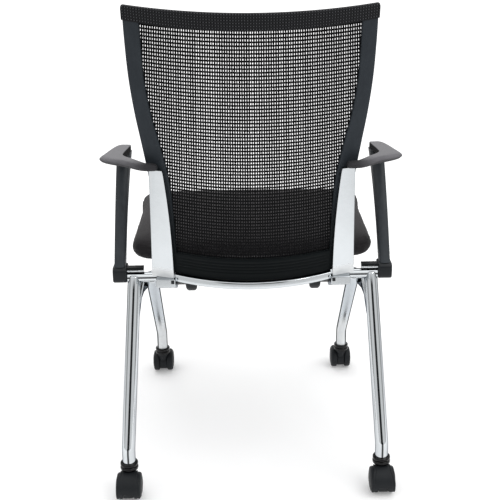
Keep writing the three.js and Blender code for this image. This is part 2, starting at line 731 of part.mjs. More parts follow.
function crossBeam() {
  const end = STUB_INNER_END - SEAT_GAP;
  const tube = rodAlongX(BEAM_RADIUS, -end, end, 0, HUB_HEIGHT, BORE_SIDES);
  return cut(tube, beamBore(BEAM_RADIUS - BEAM_WALL, -end, end));
}

// Arms

function roundedRectangle(width, height, radius) {
  const shape = new THREE.Shape();
  const [w, h] = [width / 2 - radius, height / 2 - radius];
  shape.absarc(w, h, radius, 0, Math.PI / 2, false);
  shape.absarc(-w, h, radius, Math.PI / 2, Math.PI, false);
  shape.absarc(-w, -h, radius, Math.PI, 1.5 * Math.PI, false);
  shape.absarc(w, -h, radius, 1.5 * Math.PI, 2 * Math.PI, false);
  shape.closePath();
  return shape;
}

// Height of the armrest's top, which rises to the rear. Its tip lies behind the back's rail.
const armPlane = (y) => armFrontTop + ARM_SLOPE_SHARE * (y - ARM_FRONT);
const armTipReach = innerReach(armFrontTop) + ARM_TIP_INSET;
const armLength = backY(armTipReach, armFrontTop) + ARM_TIP_WRAP - ARM_FRONT;

function hubCap() {
  const outline = roundedRectangle(CAP_DEPTH, CAP_HEIGHT, CAP_CORNER);
  return barAlongX(outline, capInner, capInner + CAP_WIDTH, CAP_CORNER_STEPS)
    .translate(0, -CAP_FORWARD, capMiddle);
}

function armBar() {
  const geometry = new THREE.BoxGeometry(ARM_BAR_LENGTH, ARM_BAR_DEPTH, ARM_BAR_HEIGHT);
  geometry.translate(
    stubOuterEnd - ARM_BAR_LENGTH / 2,
    0,
    HUB_HEIGHT + STUB_RADIUS + SEAT_GAP + ARM_BAR_HEIGHT / 2,
  );
  return plain(geometry);
}

function armPost() {
  const bottom = capTop + SEAT_GAP;
  const topX = postMiddle - POST_TOP_INSET;
  const topY = ARM_FRONT + armLength * POST_TOP_FRONT_SHARE;
  const rings = [];
  for (let k = 0; k <= POST_STEPS; k++) {
    const share = k / POST_STEPS;
    const halfWidth = THREE.MathUtils.lerp(POST_FOOT_HALF_WIDTH, POST_TOP_HALF_WIDTH, share ** 2);
    const halfDepth = THREE.MathUtils.lerp(POST_FOOT_HALF_DEPTH, POST_TOP_HALF_DEPTH, share);
    const bow = POST_BOW * 4 * share * (1 - share);
    rings.push(POST_SECTION_SHARES.map(([across, along]) => {
      const x = THREE.MathUtils.lerp(postMiddle, topX, share) + across * halfWidth;
      const y = THREE.MathUtils.lerp(-CAP_FORWARD, topY, share) + bow + along * halfDepth;
      const top = armPlane(y) - ARM_THICKNESS - SEAT_GAP;
      return new THREE.Vector3(x, y, THREE.MathUtils.lerp(bottom, top, share));
    }));
  }
  return loft(rings);
}

function armrest(ringWithRoom) {
  const reach = postMiddle + ARM_OVERHANG;
  const rings = ARM_STATION_SHARES.map(([innerX, innerY, outerX, outerY, drop]) =>
    ARM_SECTION_SHARES.map(([across, up]) => {
      const out = THREE.MathUtils.lerp(innerX, outerX, across);
      const x = THREE.MathUtils.lerp(armTipReach, reach, out);
      const y = ARM_FRONT + armLength * THREE.MathUtils.lerp(innerY, outerY, across);
      const thickness = ARM_THICKNESS * (1 - drop);
      return new THREE.Vector3(x, y, armPlane(y) - ARM_THICKNESS + thickness * up);
    }));
  return cut(loft(rings), ringWithRoom);
}

// Seat

// Outline of the seat this far inside its edge. The rear part, which passes between the arm
// posts when the seat flips up, is narrower than the front.
function seatOutline(inset, count) {
  const rear = SEAT_REAR - inset;
  const front = SEAT_FRONT + inset;
  const rearHalf = SEAT_REAR_HALF_WIDTH - inset;
  const frontHalf = SEAT_FRONT_HALF_WIDTH - inset;
  const frontCorner = Math.max(SEAT_FRONT_CORNER - inset, SEAT_LEAST_CORNER);
  const rearCorner = Math.max(SEAT_REAR_CORNER - inset, SEAT_LEAST_CORNER);
  const cornerIn = SEAT_CORNER_SHARE;
  const flare = front + frontCorner + SEAT_FLARE_LENGTH;
  const half = new THREE.Shape();
  half.moveTo(0, rear);
  half.lineTo(rearHalf - rearCorner, rear);
  half.quadraticCurveTo(rearHalf - rearCorner * cornerIn, rear - rearCorner * cornerIn,
    rearHalf, rear - rearCorner);
  half.lineTo(rearHalf, flare);
  half.quadraticCurveTo(rearHalf, front + frontCorner + SEAT_FLARE_LENGTH / 2,
    frontHalf, front + frontCorner);
  half.quadraticCurveTo(frontHalf - frontCorner * cornerIn, front + frontCorner * cornerIn,
    frontHalf - frontCorner, front);
  half.quadraticCurveTo((frontHalf - frontCorner) / 2, front - SEAT_FRONT_BOW, 0, front - SEAT_FRONT_BOW);
  const points = half.getSpacedPoints(count / 2);
  const other = points.slice(1, -1).reverse().map((point) => new THREE.Vector2(-point.x, point.y));
  return [...points, ...other];
}

function seatPan() {
  const ring = (inset, z) => seatOutline(inset, CUSHION_POINTS).map((p) => new THREE.Vector3(p.x, p.y, z));
  return loft([
    ring(PAN_INSET + PAN_THICKNESS, panBottom),
    ring(PAN_INSET, panBottom + PAN_THICKNESS / 2),
    ring(PAN_INSET, panBottom + PAN_THICKNESS),
  ]);
}

function cushion() {
  const bottom = panBottom + PAN_THICKNESS + SEAT_GAP;
  const length = SEAT_REAR - SEAT_FRONT;
  const rings = CUSHION_LEVEL_SHARES.map(([inset, rise, crown]) =>
    seatOutline(inset * CUSHION_HEIGHT, CUSHION_POINTS).map((p) => {
      const forward = THREE.MathUtils.clamp((SEAT_REAR - p.y) / length, 0, 1);
      const drop = CUSHION_FRONT_DROP * forward ** CUSHION_DROP_SHARE * rise * (1 - crown);
      return new THREE.Vector3(p.x, p.y, bottom + CUSHION_HEIGHT * rise - drop + CUSHION_CROWN * crown);
    }));
  return loft(rings);
}

function seatHinge() {
  const from = HINGE_SPREAD - HINGE_WIDTH / 2;
  const to = HINGE_SPREAD + HINGE_WIDTH / 2;
  const armTop = panBottom - SEAT_GAP - HUB_HEIGHT;
  const shape = new THREE.Shape();
  shape.absarc(0, -HINGE_DROP, HINGE_RADIUS, THREE.MathUtils.degToRad(HINGE_FOOT_ANGLE),
    THREE.MathUtils.degToRad(HINGE_HEAD_ANGLE), false);
  shape.lineTo(-HINGE_RADIUS - HINGE_DROP, armTop);
  shape.lineTo(-HINGE_ARM_LENGTH, armTop);
  shape.lineTo(-HINGE_ARM_LENGTH, armTop - HINGE_ARM_THICKNESS);
  shape.closePath();
  const bar = barAlongX(shape, from, to, ROUND_SIDES).translate(0, 0, HUB_HEIGHT);
  return cut(bar, beamBore(BEAM_RADIUS + RUNNING_GAP, from, to));
}

// Casters, drawn at the stem's axis with the wheels trailing toward +Y

function socket() {
  const bore = LEG_RADIUS + SEAT_GAP;
  const spigot = LEG_RADIUS - LEG_WALL - SEAT_GAP;
  const stemHole = STEM_RADIUS + RUNNING_GAP;
  const floor = socketBottom + SOCKET_FLOOR;
  const rib = socketBottom + SOCKET_HEIGHT / 2;
  const spigotTop = floor + SOCKET_SPIGOT;
  const profile = [
    [stemHole, socketBottom],
    [SOCKET_RADIUS - SOCKET_RIB, socketBottom],
    [SOCKET_RADIUS, socketBottom + SOCKET_RIB],
    [SOCKET_RADIUS, rib - SOCKET_RIB],
    [SOCKET_RADIUS - SOCKET_RIB, rib],
    [SOCKET_RADIUS, rib + SOCKET_RIB],
    [SOCKET_RADIUS, socketTop - SOCKET_RIB],
    [SOCKET_RADIUS - SOCKET_RIB, socketTop],
    [bore, socketTop],
    [bore, floor],
    [spigot, floor],
    [spigot, spigotTop],
    [stemHole, spigotTop],
    [stemHole, socketBottom],
  ].map(([r, z]) => new THREE.Vector2(r, z));
  return plain(new THREE.LatheGeometry(profile, SOCKET_SIDES).rotateX(Math.PI / 2));
}

function stem() {
  const bottom = socketBottom - RUNNING_GAP + SEAT_GAP;
  const geometry = new THREE.CylinderGeometry(STEM_RADIUS, STEM_RADIUS, STEM_LENGTH, SMALL_SIDES);
  return plain(geometry.rotateX(Math.PI / 2).translate(0, 0, bottom + STEM_LENGTH / 2));
}

function housing() {
  const bodyHalf = CASTER_WIDTH / 2 - WHEEL_WIDTH - RUNNING_GAP;
  const outer = hoodRadius;
  const inner = WHEEL_RADIUS + HOOD_CLEARANCE;
  const start = THREE.MathUtils.degToRad(HOOD_REAR_ANGLE);
  const end = THREE.MathUtils.degToRad(HOOD_FRONT_ANGLE);
  const hoodShape = new THREE.Shape();
  hoodShape.absarc(0, 0, outer, start, end, false);
  hoodShape.absarc(0, 0, inner, end, start, true);
  hoodShape.closePath();
  const hood = barAlongX(hoodShape, -HOOD_WIDTH / 2, HOOD_WIDTH / 2, HOOD_STEPS);
  const webShape = new THREE.Shape();
  webShape.absarc(0, 0, outer - HOOD_THICKNESS / 2, start, end, false);
  webShape.absarc(0, 0, BODY_RADIUS, end, 2 * Math.PI + start, false);
  webShape.closePath();
  const web = barAlongX(webShape, -bodyHalf, bodyHalf, HOOD_STEPS);
  const turned = joined(hood, web).translate(0, CASTER_TRAIL, wheelInradius);
  const bossBottom = wheelInradius + BOSS_FOOT_RISE;
  const bossHeight = socketBottom - RUNNING_GAP - bossBottom;
  const boss = new THREE.CylinderGeometry(BOSS_RADIUS, bodyHalf, bossHeight, ROUND_SIDES)
    .rotateX(Math.PI / 2).translate(0, 0, bossBottom + bossHeight / 2);
  const axleHole = rodAlongX(AXLE_RADIUS + SEAT_GAP, -bodyHalf - OVERRUN, bodyHalf + OVERRUN,
    CASTER_TRAIL, wheelInradius, SMALL_SIDES);
  const wheelRoom = [-1, 1].map((side) => {
    const [a, b] = [bodyHalf, CASTER_WIDTH / 2].map((x) => side * x).sort((p, q) => p - q);
    return rodAlongX(WHEEL_RADIUS + HOOD_CLEARANCE / 2, a, b, CASTER_TRAIL, wheelInradius, WHEEL_SIDES);
  });
  return cut(joined(turned, boss), axleHole, ...wheelRoom);
}

function axle() {
  const half = CASTER_WIDTH / 2 - WHEEL_WIDTH + AXLE_DEPTH_IN_WHEEL;
  return rodAlongX(AXLE_RADIUS, -half, half, CASTER_TRAIL, wheelInradius, SMALL_SIDES);
}

function wheel() {
  const innerFace = CASTER_WIDTH / 2 - WHEEL_WIDTH;
  const outerFace = CASTER_WIDTH / 2;
  const hole = AXLE_RADIUS + RUNNING_GAP;
  const holeEnd = innerFace + AXLE_DEPTH_IN_WHEEL + RUNNING_GAP;
  const profile = [
    [0, holeEnd],
    [hole, holeEnd],
    [hole, innerFace],
    [WHEEL_RADIUS - WHEEL_INNER_BEVEL, innerFace],
    [WHEEL_RADIUS, innerFace + WHEEL_INNER_BEVEL],
    [WHEEL_RADIUS, outerFace - WHEEL_EDGE],
    [WHEEL_RADIUS - WHEEL_EDGE_STEP, outerFace - WHEEL_DOME],
    [WHEEL_FACE_RADIUS, outerFace],
    [0, outerFace],
  ].map(([r, x]) => new THREE.Vector2(r, x));
  const geometry = new THREE.LatheGeometry(profile, WHEEL_SIDES, Math.PI / WHEEL_SIDES);
  return plain(geometry.rotateZ(-Math.PI / 2).translate(0, CASTER_TRAIL, wheelInradius));
}

// Assembly

const ringWithRoom = ringSolid(SEAT_GAP);
addPiece("back_frame", ringSolid(0), slatePlastic);
addPiece("top_mesh_band", topBand(ringWithRoom), meshFabric);
addPiece("back_net", netSheet(ringWithRoom), meshFabric);
addPiece("back_crossbar", crossbar(ringWithRoom), chrome);
addPiece("cross_beam", crossBeam(), blackSteel);
addPiece("seat_pan", seatPan(), blackPlastic);
addPiece("seat_cushion", cushion(), seatFabric);

const sidePieces = [
  ["rear_leg", leg(rearLegHead, REAR_STEM_SPREAD, REAR_STEM_REACH, REAR_KNEE_HEIGHT), chrome],
  ["front_leg", leg(frontLegHead, FRONT_STEM_SPREAD, -FRONT_STEM_REACH, FRONT_KNEE_HEIGHT), chrome],
  ["leg_gusset", gusset(), chrome],
  ["hub_stub", hubStub(), chrome],
  ["hub_cap", hubCap(), blackPlastic],
  ["arm_bar", armBar(), blackPlastic],
  ["arm_post", armPost(), armPlastic],
  ["armrest", armrest(ringWithRoom), armPlastic],
  ["back_upright", upright(ringWithRoom), chrome],
  ["upright_bracket", uprightBracket(), chrome],
  ["bracket_screw", bracketScrew(), blackPlastic],
  ["seat_hinge", seatHinge(), blackPlastic],
];
for (const [name, geometry, material] of sidePieces) {
  addPiece(`${name}_left`, geometry, material);
  addPiece(`${name}_right`, mirrored(geometry), material);
}

const corners = [
  ["front_left", FRONT_STEM_SPREAD, -FRONT_STEM_REACH, -1],
  ["front_right", -FRONT_STEM_SPREAD, -FRONT_STEM_REACH, -1],
  ["rear_left", REAR_STEM_SPREAD, REAR_STEM_REACH, 1],
  ["rear_right", -REAR_STEM_SPREAD, REAR_STEM_REACH, 1],
];
for (const [corner, x, y, trail] of corners) {
  const turned = (geometry) => geometry.clone().rotateZ(trail > 0 ? 0 : Math.PI).translate(x, y, 0);
  addPiece(`leg_socket_${corner}`, turned(socket()), blackPlastic);
  addPiece(`caster_stem_${corner}`, turned(stem()), plainSteel);
  addPiece(`caster_housing_${corner}`, turned(housing()), casterPlastic);
  addPiece(`caster_axle_${corner}`, turned(axle()), plainSteel);
  addPiece(`caster_wheel_a_${corner}`, turned(wheel()), casterPlastic);
  addPiece(`caster_wheel_b_${corner}`, turned(mirrored(wheel())), casterPlastic);
}

const frontExtent = FRONT_STEM_REACH + CASTER_TRAIL + hoodRadius;
const rearExtent = backY(0, topEdge(0) - BAND_THICKNESS) + BAND_THICKNESS + SEAT_GAP;
chair.position.y = (frontExtent - rearExtent) / 2;

export default chair;
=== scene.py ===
import json
import math

import bmesh
import bpy
import numpy as np
from mathutils import Matrix, Vector
from mathutils.bvhtree import BVHTree
from mathutils.kdtree import KDTree


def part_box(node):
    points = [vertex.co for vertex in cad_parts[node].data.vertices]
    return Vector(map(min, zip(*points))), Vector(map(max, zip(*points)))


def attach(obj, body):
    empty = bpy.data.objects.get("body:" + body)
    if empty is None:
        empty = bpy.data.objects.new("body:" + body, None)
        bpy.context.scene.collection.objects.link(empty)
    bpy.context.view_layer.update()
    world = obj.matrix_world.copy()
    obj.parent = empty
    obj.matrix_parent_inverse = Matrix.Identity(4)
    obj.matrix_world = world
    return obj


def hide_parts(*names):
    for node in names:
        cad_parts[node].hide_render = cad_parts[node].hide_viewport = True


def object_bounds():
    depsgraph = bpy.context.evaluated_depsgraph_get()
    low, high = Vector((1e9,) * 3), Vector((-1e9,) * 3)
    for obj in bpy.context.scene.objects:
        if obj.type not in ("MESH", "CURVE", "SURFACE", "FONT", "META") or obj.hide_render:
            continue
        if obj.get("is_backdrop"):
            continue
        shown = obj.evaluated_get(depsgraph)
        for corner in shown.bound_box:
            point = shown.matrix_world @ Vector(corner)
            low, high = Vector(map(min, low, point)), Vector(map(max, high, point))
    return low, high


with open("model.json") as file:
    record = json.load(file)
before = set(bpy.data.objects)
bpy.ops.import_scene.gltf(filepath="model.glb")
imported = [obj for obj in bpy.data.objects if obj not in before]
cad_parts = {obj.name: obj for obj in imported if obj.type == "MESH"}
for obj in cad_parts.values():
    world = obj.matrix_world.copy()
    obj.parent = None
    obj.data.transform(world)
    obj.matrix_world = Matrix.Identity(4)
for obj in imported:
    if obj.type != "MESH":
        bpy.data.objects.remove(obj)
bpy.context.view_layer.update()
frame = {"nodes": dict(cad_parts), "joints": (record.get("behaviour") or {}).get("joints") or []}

# ---- Ring of the back ----
# One nylon moulding: two side rails that lean out as they rise, a top rail that dips in the
# middle and a deep foot rail. A channel round its inner side holds the edge of the net.

flip = next(joint for joint in frame["joints"] if joint["name"] == "seat_flip")
hub = Vector(flip["pos_m"])
back_foot = hub.z + 0.027
back_height = 0.504
back_top = back_foot + back_height
half_width = 0.2095
back_offset, back_lean, lean_power = 0.047, 0.1035, 1.2
back_bow = (0.030, 0.036)  # at the foot and at the top
top_dip, foot_dip = 0.012, 0.008
rail_full_width = 0.028
rail_depth = 0.017
foot_rail_height = 0.044
top_rail_height = 0.020
band_thickness = 0.0015
seat_gap = 0.0003  # left between pieces that touch
reach_shares = (0.84, 0.849, 0.861, 0.885, 0.923, 0.964, 0.991, 1, 1)
width_shares = (1.29, 1.26, 1.29, 1.32, 1.2, 1.04, 0.97, 0.99, 1)


def mix(a, b, share):
    return a + (b - a) * share


def clipped(value, most=1.0):
    return min(max(value, 0), most)


def through(shares, t):
    """The value at t of a smooth line through evenly spaced shares."""
    place = clipped(t) * (len(shares) - 1)
    k = min(int(place), len(shares) - 2)
    f = place - k
    p0, p1, p2, p3 = (shares[min(max(k + d, 0), len(shares) - 1)] for d in (-1, 0, 1, 2))
    slope_in, slope_out, rise = (p2 - p0) / 2, (p3 - p1) / 2, p2 - p1
    return (p1 + f * slope_in + f * f * (3 * rise - 2 * slope_in - slope_out)
            + f**3 * (slope_in + slope_out - 2 * rise))


def outer_reach(z):
    return half_width * through(reach_shares, (z - back_foot) / back_height)


def rail_width(z):
    return rail_full_width * through(width_shares, (z - back_foot) / back_height)


def inner_reach(z):
    return outer_reach(z) - rail_width(z)


def back_y(x, z):
    """The back's rear face, which leans back as it rises and bows to the rear in plan."""
    t = max((z - back_foot) / back_height, 0)
    middle = outer_reach(z) - rail_width(z) / 2
    bow = mix(*back_bow, t) * (1 - (x / middle) ** 2)
    return hub.y + back_offset + back_lean * t**lean_power + bow


def top_edge(x):
    return back_top - top_dip * (1 - (x / half_width) ** 2)


def foot_edge(x):
    return back_foot - foot_dip * (1 - (x / inner_reach(back_foot)) ** 2)


def ring_pairs():
    """Places round the ring, each an outer and an inner (x, z)."""
    top_round, foot_round, inner_round = 0.010, 0.026, 0.002
    low_outer, high_outer = back_foot + foot_round, back_top - top_round
    low_inner = back_foot + foot_rail_height
    drop = band_thickness + seat_gap
    high_inner = top_edge(inner_reach(back_top)) - drop - top_rail_height
    half = []
    for k in range(25):
        share = k / 24
        x_out = share * (outer_reach(low_outer) - foot_round)
        x_in = share * inner_reach(low_inner)
        half.append(((x_out, foot_edge(x_out)), (x_in, foot_edge(x_in) + foot_rail_height)))
    for k in range(1, 9):
        angle = k / 9 * math.pi / 2
        z_in = low_inner + inner_round * k / 9
        half.append(((outer_reach(low_outer) - foot_round * (1 - math.sin(angle)),
                      low_outer - foot_round * math.cos(angle)), (inner_reach(z_in), z_in)))
    for k in range(61):
        z_out = mix(low_outer, high_outer, k / 60)
        z_in = mix(low_inner + inner_round, high_inner - inner_round, k / 60)
        half.append(((outer_reach(z_out), z_out), (inner_reach(z_in), z_in)))
    for k in range(1, 7):
        angle = k / 7 * math.pi / 2
        z_in = high_inner - inner_round + inner_round * k / 7
        half.append(((half_width - top_round * (1 - math.cos(angle)),
                      high_outer + (top_round - drop) * math.sin(angle)),
                     (inner_reach(z_in), z_in)))
    for k in range(24, -1, -1):
        share = k / 24
        x_out = share * (half_width - top_round)
        x_in = share * inner_reach(high_inner)
        half.append(((x_out, top_edge(x_out) - drop),
                     (x_in, top_edge(x_in) - drop - top_rail_height)))
    other = [[(-x, z) for x, z in pair] for pair in half[1:-1][::-1]]
    return half + other


def put(name, data):
    """An object of this mesh, lamp or camera, put in the scene."""
    made = bpy.data.objects.new(name, data)
    bpy.context.scene.collection.objects.link(made)
    return made


def turn_outward(mesh, merge=0.0):
    """Makes a mesh smooth with its faces turned outward, its doubles merged first if asked."""
    shell = bmesh.new()
    shell.from_mesh(mesh)
    if merge:
        bmesh.ops.remove_doubles(shell, verts=shell.verts, dist=merge)
    bmesh.ops.recalc_face_normals(shell, faces=shell.faces)
    shell.to_mesh(mesh)
    shell.free()
    mesh.shade_smooth()


def skin(name, rings, loop=False, crease=32.0):
    """A smooth skin over rings of points, closed by flat ends or onto itself.

    Edges sharper than crease stay sharp.
    """
    count = len(rings[0])
    points = [p for ring in rings for p in ring]
    faces = []
    for i in range(len(rings) if loop else len(rings) - 1):
        here, there = i * count, (i + 1) % len(rings) * count
        for j in range(count):
            k = (j + 1) % count
            faces.append((here + j, here + k, there + k, there + j))
    if not loop:
        last = (len(rings) - 1) * count
        faces += [tuple(range(count))[::-1], tuple(range(last, last + count))]
    mesh = bpy.data.meshes.new(name)
    mesh.from_pydata([tuple(p) for p in points], [], faces)
    turn_outward(mesh, merge=1e-6)
    mesh.set_sharp_from_angle(angle=math.radians(crease))
    return put(name, mesh)


def fit(made, finish, body, slot, *nodes):
    """Gives a piece its finish, and sets it on its body in place of these CAD nodes."""
    made.data.materials.clear()
    made.data.materials.append(finish)
    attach(made, body)
    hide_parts(*nodes)
    return made


def rounded_section(width, depth, radius, steps=4, notch=None, face=0):
    """A rounded rectangle as (across, through) places, with more places along its rear face.

    A notch is a channel in its inner side.
    """
    places = []
    for cx, cy, start in ((radius, depth - radius, 180), (width - radius, depth - radius, 90),
                          (width - radius, radius, 0), (radius, radius, -90)):
        for k in range(steps + 1):
            angle = math.radians(start - 90 * k / steps)
            places.append((cx + radius * math.cos(angle), cy + radius * math.sin(angle)))
        if notch and start == 90:
            middle, half, deep = notch
            places += [(width, middle + half), (width - deep, middle + half),
                       (width - deep, middle - half), (width, middle - half)]
        if start == 0:
            places += [(mix(width - radius, radius, k / face), 0.0) for k in range(1, face)]
    return places


class Value:
    """A socket of a material, so that shader maths reads as a Python expression."""

    def __init__(self, nodes, socket):
        self.nodes, self.socket = nodes, socket

    def maths(self, operation, *values):
        return self.nodes.node("ShaderNodeMath", {"operation": operation},
                               dict(enumerate(values)))

    def __add__(self, other):
        return self.maths("ADD", self, other)

    def __sub__(self, other):
        return self.maths("SUBTRACT", self, other)

    def __rsub__(self, other):
        return self.maths("SUBTRACT", other, self)

    def __mul__(self, other):
        return self.maths("MULTIPLY", self, other)

    def __truediv__(self, other):
        return self.maths("DIVIDE", self, other)

    def __abs__(self):
        return self.maths("ABSOLUTE", self)

    def sine(self):
        return self.maths("SINE", self)

    def sign(self):
        return self.maths("SIGN", self)

    __radd__ = __add__
    __rmul__ = __mul__


class Nodes:
    """A node tree that is written one expression at a time."""

    def __init__(self, tree):
        self.tree = tree

    def node(self, kind, settings=None, sockets=None, out=0):
        made = self.tree.nodes.new(kind)
        for key, value in (settings or {}).items():
            if key == "stops":
                ramp = made.color_ramp
                while len(ramp.elements) < len(value):
                    ramp.elements.new(1.0)
                for element, (place, shade) in zip(ramp.elements, value):
                    element.position = place
                    element.color = (*shade, 1)
            else:
                setattr(made, key, value)
        for key, value in (sockets or {}).items():
            if isinstance(value, Value):
                self.tree.links.new(value.socket, made.inputs[key])
            else:
                made.inputs[key].default_value = value
        return Value(self, made.outputs[out])

    def parts(self, vector):
        """The x, y and z of a vector."""
        split = self.node("ShaderNodeSeparateXYZ", None, {0: vector}).socket.node
        return [Value(self, socket) for socket in split.outputs]

    def vector(self, x, y=0.0, z=0.0):
        return self.node("ShaderNodeCombineXYZ", None, {0: x, 1: y, 2: z})

    def blend(self, share, a, b):
        """A colour from a to b."""
        a, b = (c if isinstance(c, Value) else (*c, 1) for c in (a, b))
        return self.node("ShaderNodeMix", {"data_type": "RGBA"}, {0: share, 6: a, 7: b}, 2)

    def ramp(self, value, low, high):
        """0 below low, 1 above high and smooth between them."""
        return self.node("ShaderNodeMapRange", {"interpolation_type": "SMOOTHSTEP"},
                         {0: value, 1: low, 2: high})


class Finish(Nodes):
    """A material of one Principled shader."""

    def __init__(self, name, **constants):
        self.material = bpy.data.materials.new(name)
        self.material.use_nodes = True
        super().__init__(self.material.node_tree)
        self.shader = self.tree.nodes["Principled BSDF"]
        for socket, value in constants.items():
            self.shader.inputs[socket.replace("_", " ")].default_value = value
        self.place = self.node("ShaderNodeTexCoord", out="Object")

    def noise(self, scale, detail=2.0, rough=0.5, stretch=(1, 1, 1), place=None):
        """Cloudy noise of this many cells a metre, drawn out by stretch."""
        at = self.node("ShaderNodeMapping", None,
                       {"Vector": place or self.place, "Scale": stretch})
        return self.node("ShaderNodeTexNoise", None,
                         {"Vector": at, "Scale": scale, "Detail": detail, "Roughness": rough})

    def feed(self, **values):
        for socket, value in values.items():
            self.tree.links.new(value.socket, self.shader.inputs[socket.replace("_", " ")])
        return self

    def relief(self, *layers):
        """Bumps from (height, strength, distance) layers, one over the other."""
        under = None
        for height, strength, distance in layers:
            sockets = {"Height": height, "Strength": strength, "Distance": distance}
            if under:
                sockets["Normal"] = under
            under = self.node("ShaderNodeBump", None, sockets)
        return self.feed(Normal=under)


def moulded(name, dark, light, roughness, grain=0.35, streak=0.0, coat=0.0, shine=0.3,
            painted_shade_span=None, painted_shade_colour=None):
    """Moulded plastic: a spark-eroded grain, uneven gloss, and paler rubbed patches.

    Given two heights, the moulding is painted darker from the upper to the lower one, a painted
    shade.
    Given a second colour, the moulding takes it as painted shade where a per-vertex attribute
    marks it.
    """
    paint = Finish(name, IOR=1.48, Coat_Weight=coat, Coat_Roughness=0.12,
                   Specular_IOR_Level=shine)
    clouds = paint.noise(28, 3, 0.55)
    rubbed = paint.ramp(paint.noise(75, 5, 0.62), 0.56, 0.8)
    drawn = paint.noise(140, 3, 0.5, stretch=(1, 1, 0.06))
    tone = 0.55 * clouds + 0.45 * drawn * streak + 0.25 * rubbed
    colour = paint.blend(tone, dark, light)
    gloss = roughness - 0.05 + 0.1 * clouds + 0.06 * rubbed
    if painted_shade_span:
        # Painted shade: near black below the lower height, fading to the plastic's own colour by
        # the upper one.
        colour = paint.blend(paint.ramp(paint.parts(paint.place)[2], *painted_shade_span),
                             (0.0015, 0.003, 0.0035), colour)
    if painted_shade_colour:
        # Painted shade: the marked places take the dark colour and turn rougher.
        painted_dark = paint.node("ShaderNodeAttribute", {"attribute_name": "dark_shot"}, out="Fac")
        colour = paint.blend(painted_dark, colour, painted_shade_colour)
        gloss = gloss + 0.5 * painted_dark
    paint.feed(Base_Color=colour, Roughness=gloss)
    fine = paint.node("ShaderNodeTexVoronoi", {"distance": "EUCLIDEAN"},
                      {"Vector": paint.place, "Scale": 1900.0})
    paint.relief((drawn, 0.12 * max(streak, 0.2), 0.0006), (clouds, 0.1, 0.0008),
                 (fine, grain, 0.00006))
    return paint.material


# The rails are painted darker toward their lower part, a painted shade.
slate_plastic = moulded("slate_plastic", (0.020, 0.024, 0.029), (0.042, 0.050, 0.059), 0.46,
                        streak=1.0, shine=0.12, painted_shade_span=(0.45, 0.70))

rib_pitch, rib_height, rib_start, rib_margin = 0.0062, 0.0011, 0.0135, 0.034
channel = (0.0093, 0.0015, 0.0016)  # its middle, half its width and its depth
rail_round, rail_crown = 0.0042, 0.0008
ring = []
for (x_out, z_out), (x_in, z_in) in ring_pairs():
    width = math.hypot(x_out - x_in, z_out - z_in)
    ribbed = z_out < back_foot + 0.002 and abs(x_out) < outer_reach(back_foot) - rib_margin
    ring.append([])
    for across, deep in rounded_section(width, rail_depth, rail_round, 4, channel, 36):
        x, z = (mix(a, b, across / width) for a, b in ((x_out, x_in), (z_out, z_in)))
        if ribbed and deep < rail_depth / 2 and across > rib_start:
            wave = 0.5 - 0.5 * math.cos(2 * math.pi * (across - rib_start) / rib_pitch)
            deep = max(deep, rib_height * wave)
        crown = rail_crown * (2 * across / width - 1) ** 2
        y = back_y(x, z) - (deep if deep > rail_depth / 2 else max(deep, crown))
        ring[-1].append((x, y, z))
fit(skin("back_ring", ring, loop=True), slate_plastic, "frame", "slate_plastic", "back_frame")

# ---- Mesh band over the top rail ----
# The same knit as the net, left dense and pulled over the top rail. Its courses run along the
# rail, and its lower edge is turned in and glued.

band_columns, band_rows = 420, 46
band_end, band_corner = half_width + band_thickness + seat_gap, 0.0035
band_outer_round, band_inner_round = 0.0052, 0.004
band_fall = (0.029, 0.025)  # from the rail's top to its lower edge, in the middle and at the end


def band_outline(x, skin_over, rounding):
    """The band's section at x, as (y, z) from its lower rear edge over the rail."""
    across = x / band_end
    past = max(0.0, abs(x) - band_end + band_corner) / band_corner
    top = top_edge(x) - band_thickness - seat_gap + skin_over
    top -= band_corner * (1 - math.sqrt(max(0.0, 1 - past**2)))
    low = top_edge(x) - mix(*band_fall, across**2)
    deep = rail_depth + skin_over
    quarter = [math.radians(15 * k) for k in range(7)]
    corners = [(-skin_over, low)]
    corners += [(-skin_over + rounding * (1 - math.cos(a)), top - rounding * (1 - math.sin(a)))
                for a in quarter]
    corners += [(deep - rounding * (1 - math.sin(a)), top - rounding * (1 - math.cos(a)))
                for a in quarter]
    corners += [(deep, low)]
    return [(back_y(x, z) - d, z) for d, z in corners]


def spaced(points, count):
    """This many points evenly along a line of points."""
    points = np.array(points, float)
    run = np.concatenate([[0], np.cumsum(np.linalg.norm(np.diff(points, axis=0), axis=1))])
    at = np.linspace(0, run[-1], count)
    return np.stack([np.interp(at, run, points[:, k]) for k in range(points.shape[1])], 1), run[-1]


def by_vertex(made, rings, values):
    """For each vertex of a piece, the value of the nearest point of its rings."""
    points = [p for ring_points in rings for p in ring_points]
    tree = KDTree(len(points))
    for k, point in enumerate(points):
        tree.insert(point, k)
    tree.balance()
    return [values[tree.find(vertex.co)[1]] for vertex in made.data.vertices]


rings, runs = [], []
for i in range(band_columns + 1):
    x = (2 * i / band_columns - 1) * band_end
    outer, length = spaced(band_outline(x, band_thickness, band_outer_round), band_rows)
    inner, _ = spaced(band_outline(x, seat_gap, band_inner_round), band_rows)
    rings.append([(x, *p) for p in outer] + [(x, *p) for p in inner[::-1]])
    run = [length * k / (band_rows - 1) for k in range(band_rows)]
    runs += [(x, r) for r in run + run[::-1]]
band = skin("top_band", rings, crease=50)
runs = by_vertex(band, rings, runs)
cloth_map = band.data.uv_layers.new(name="Cloth")
for loop in band.data.loops:
    cloth_map.data[loop.index].uv = runs[loop.vertex_index]


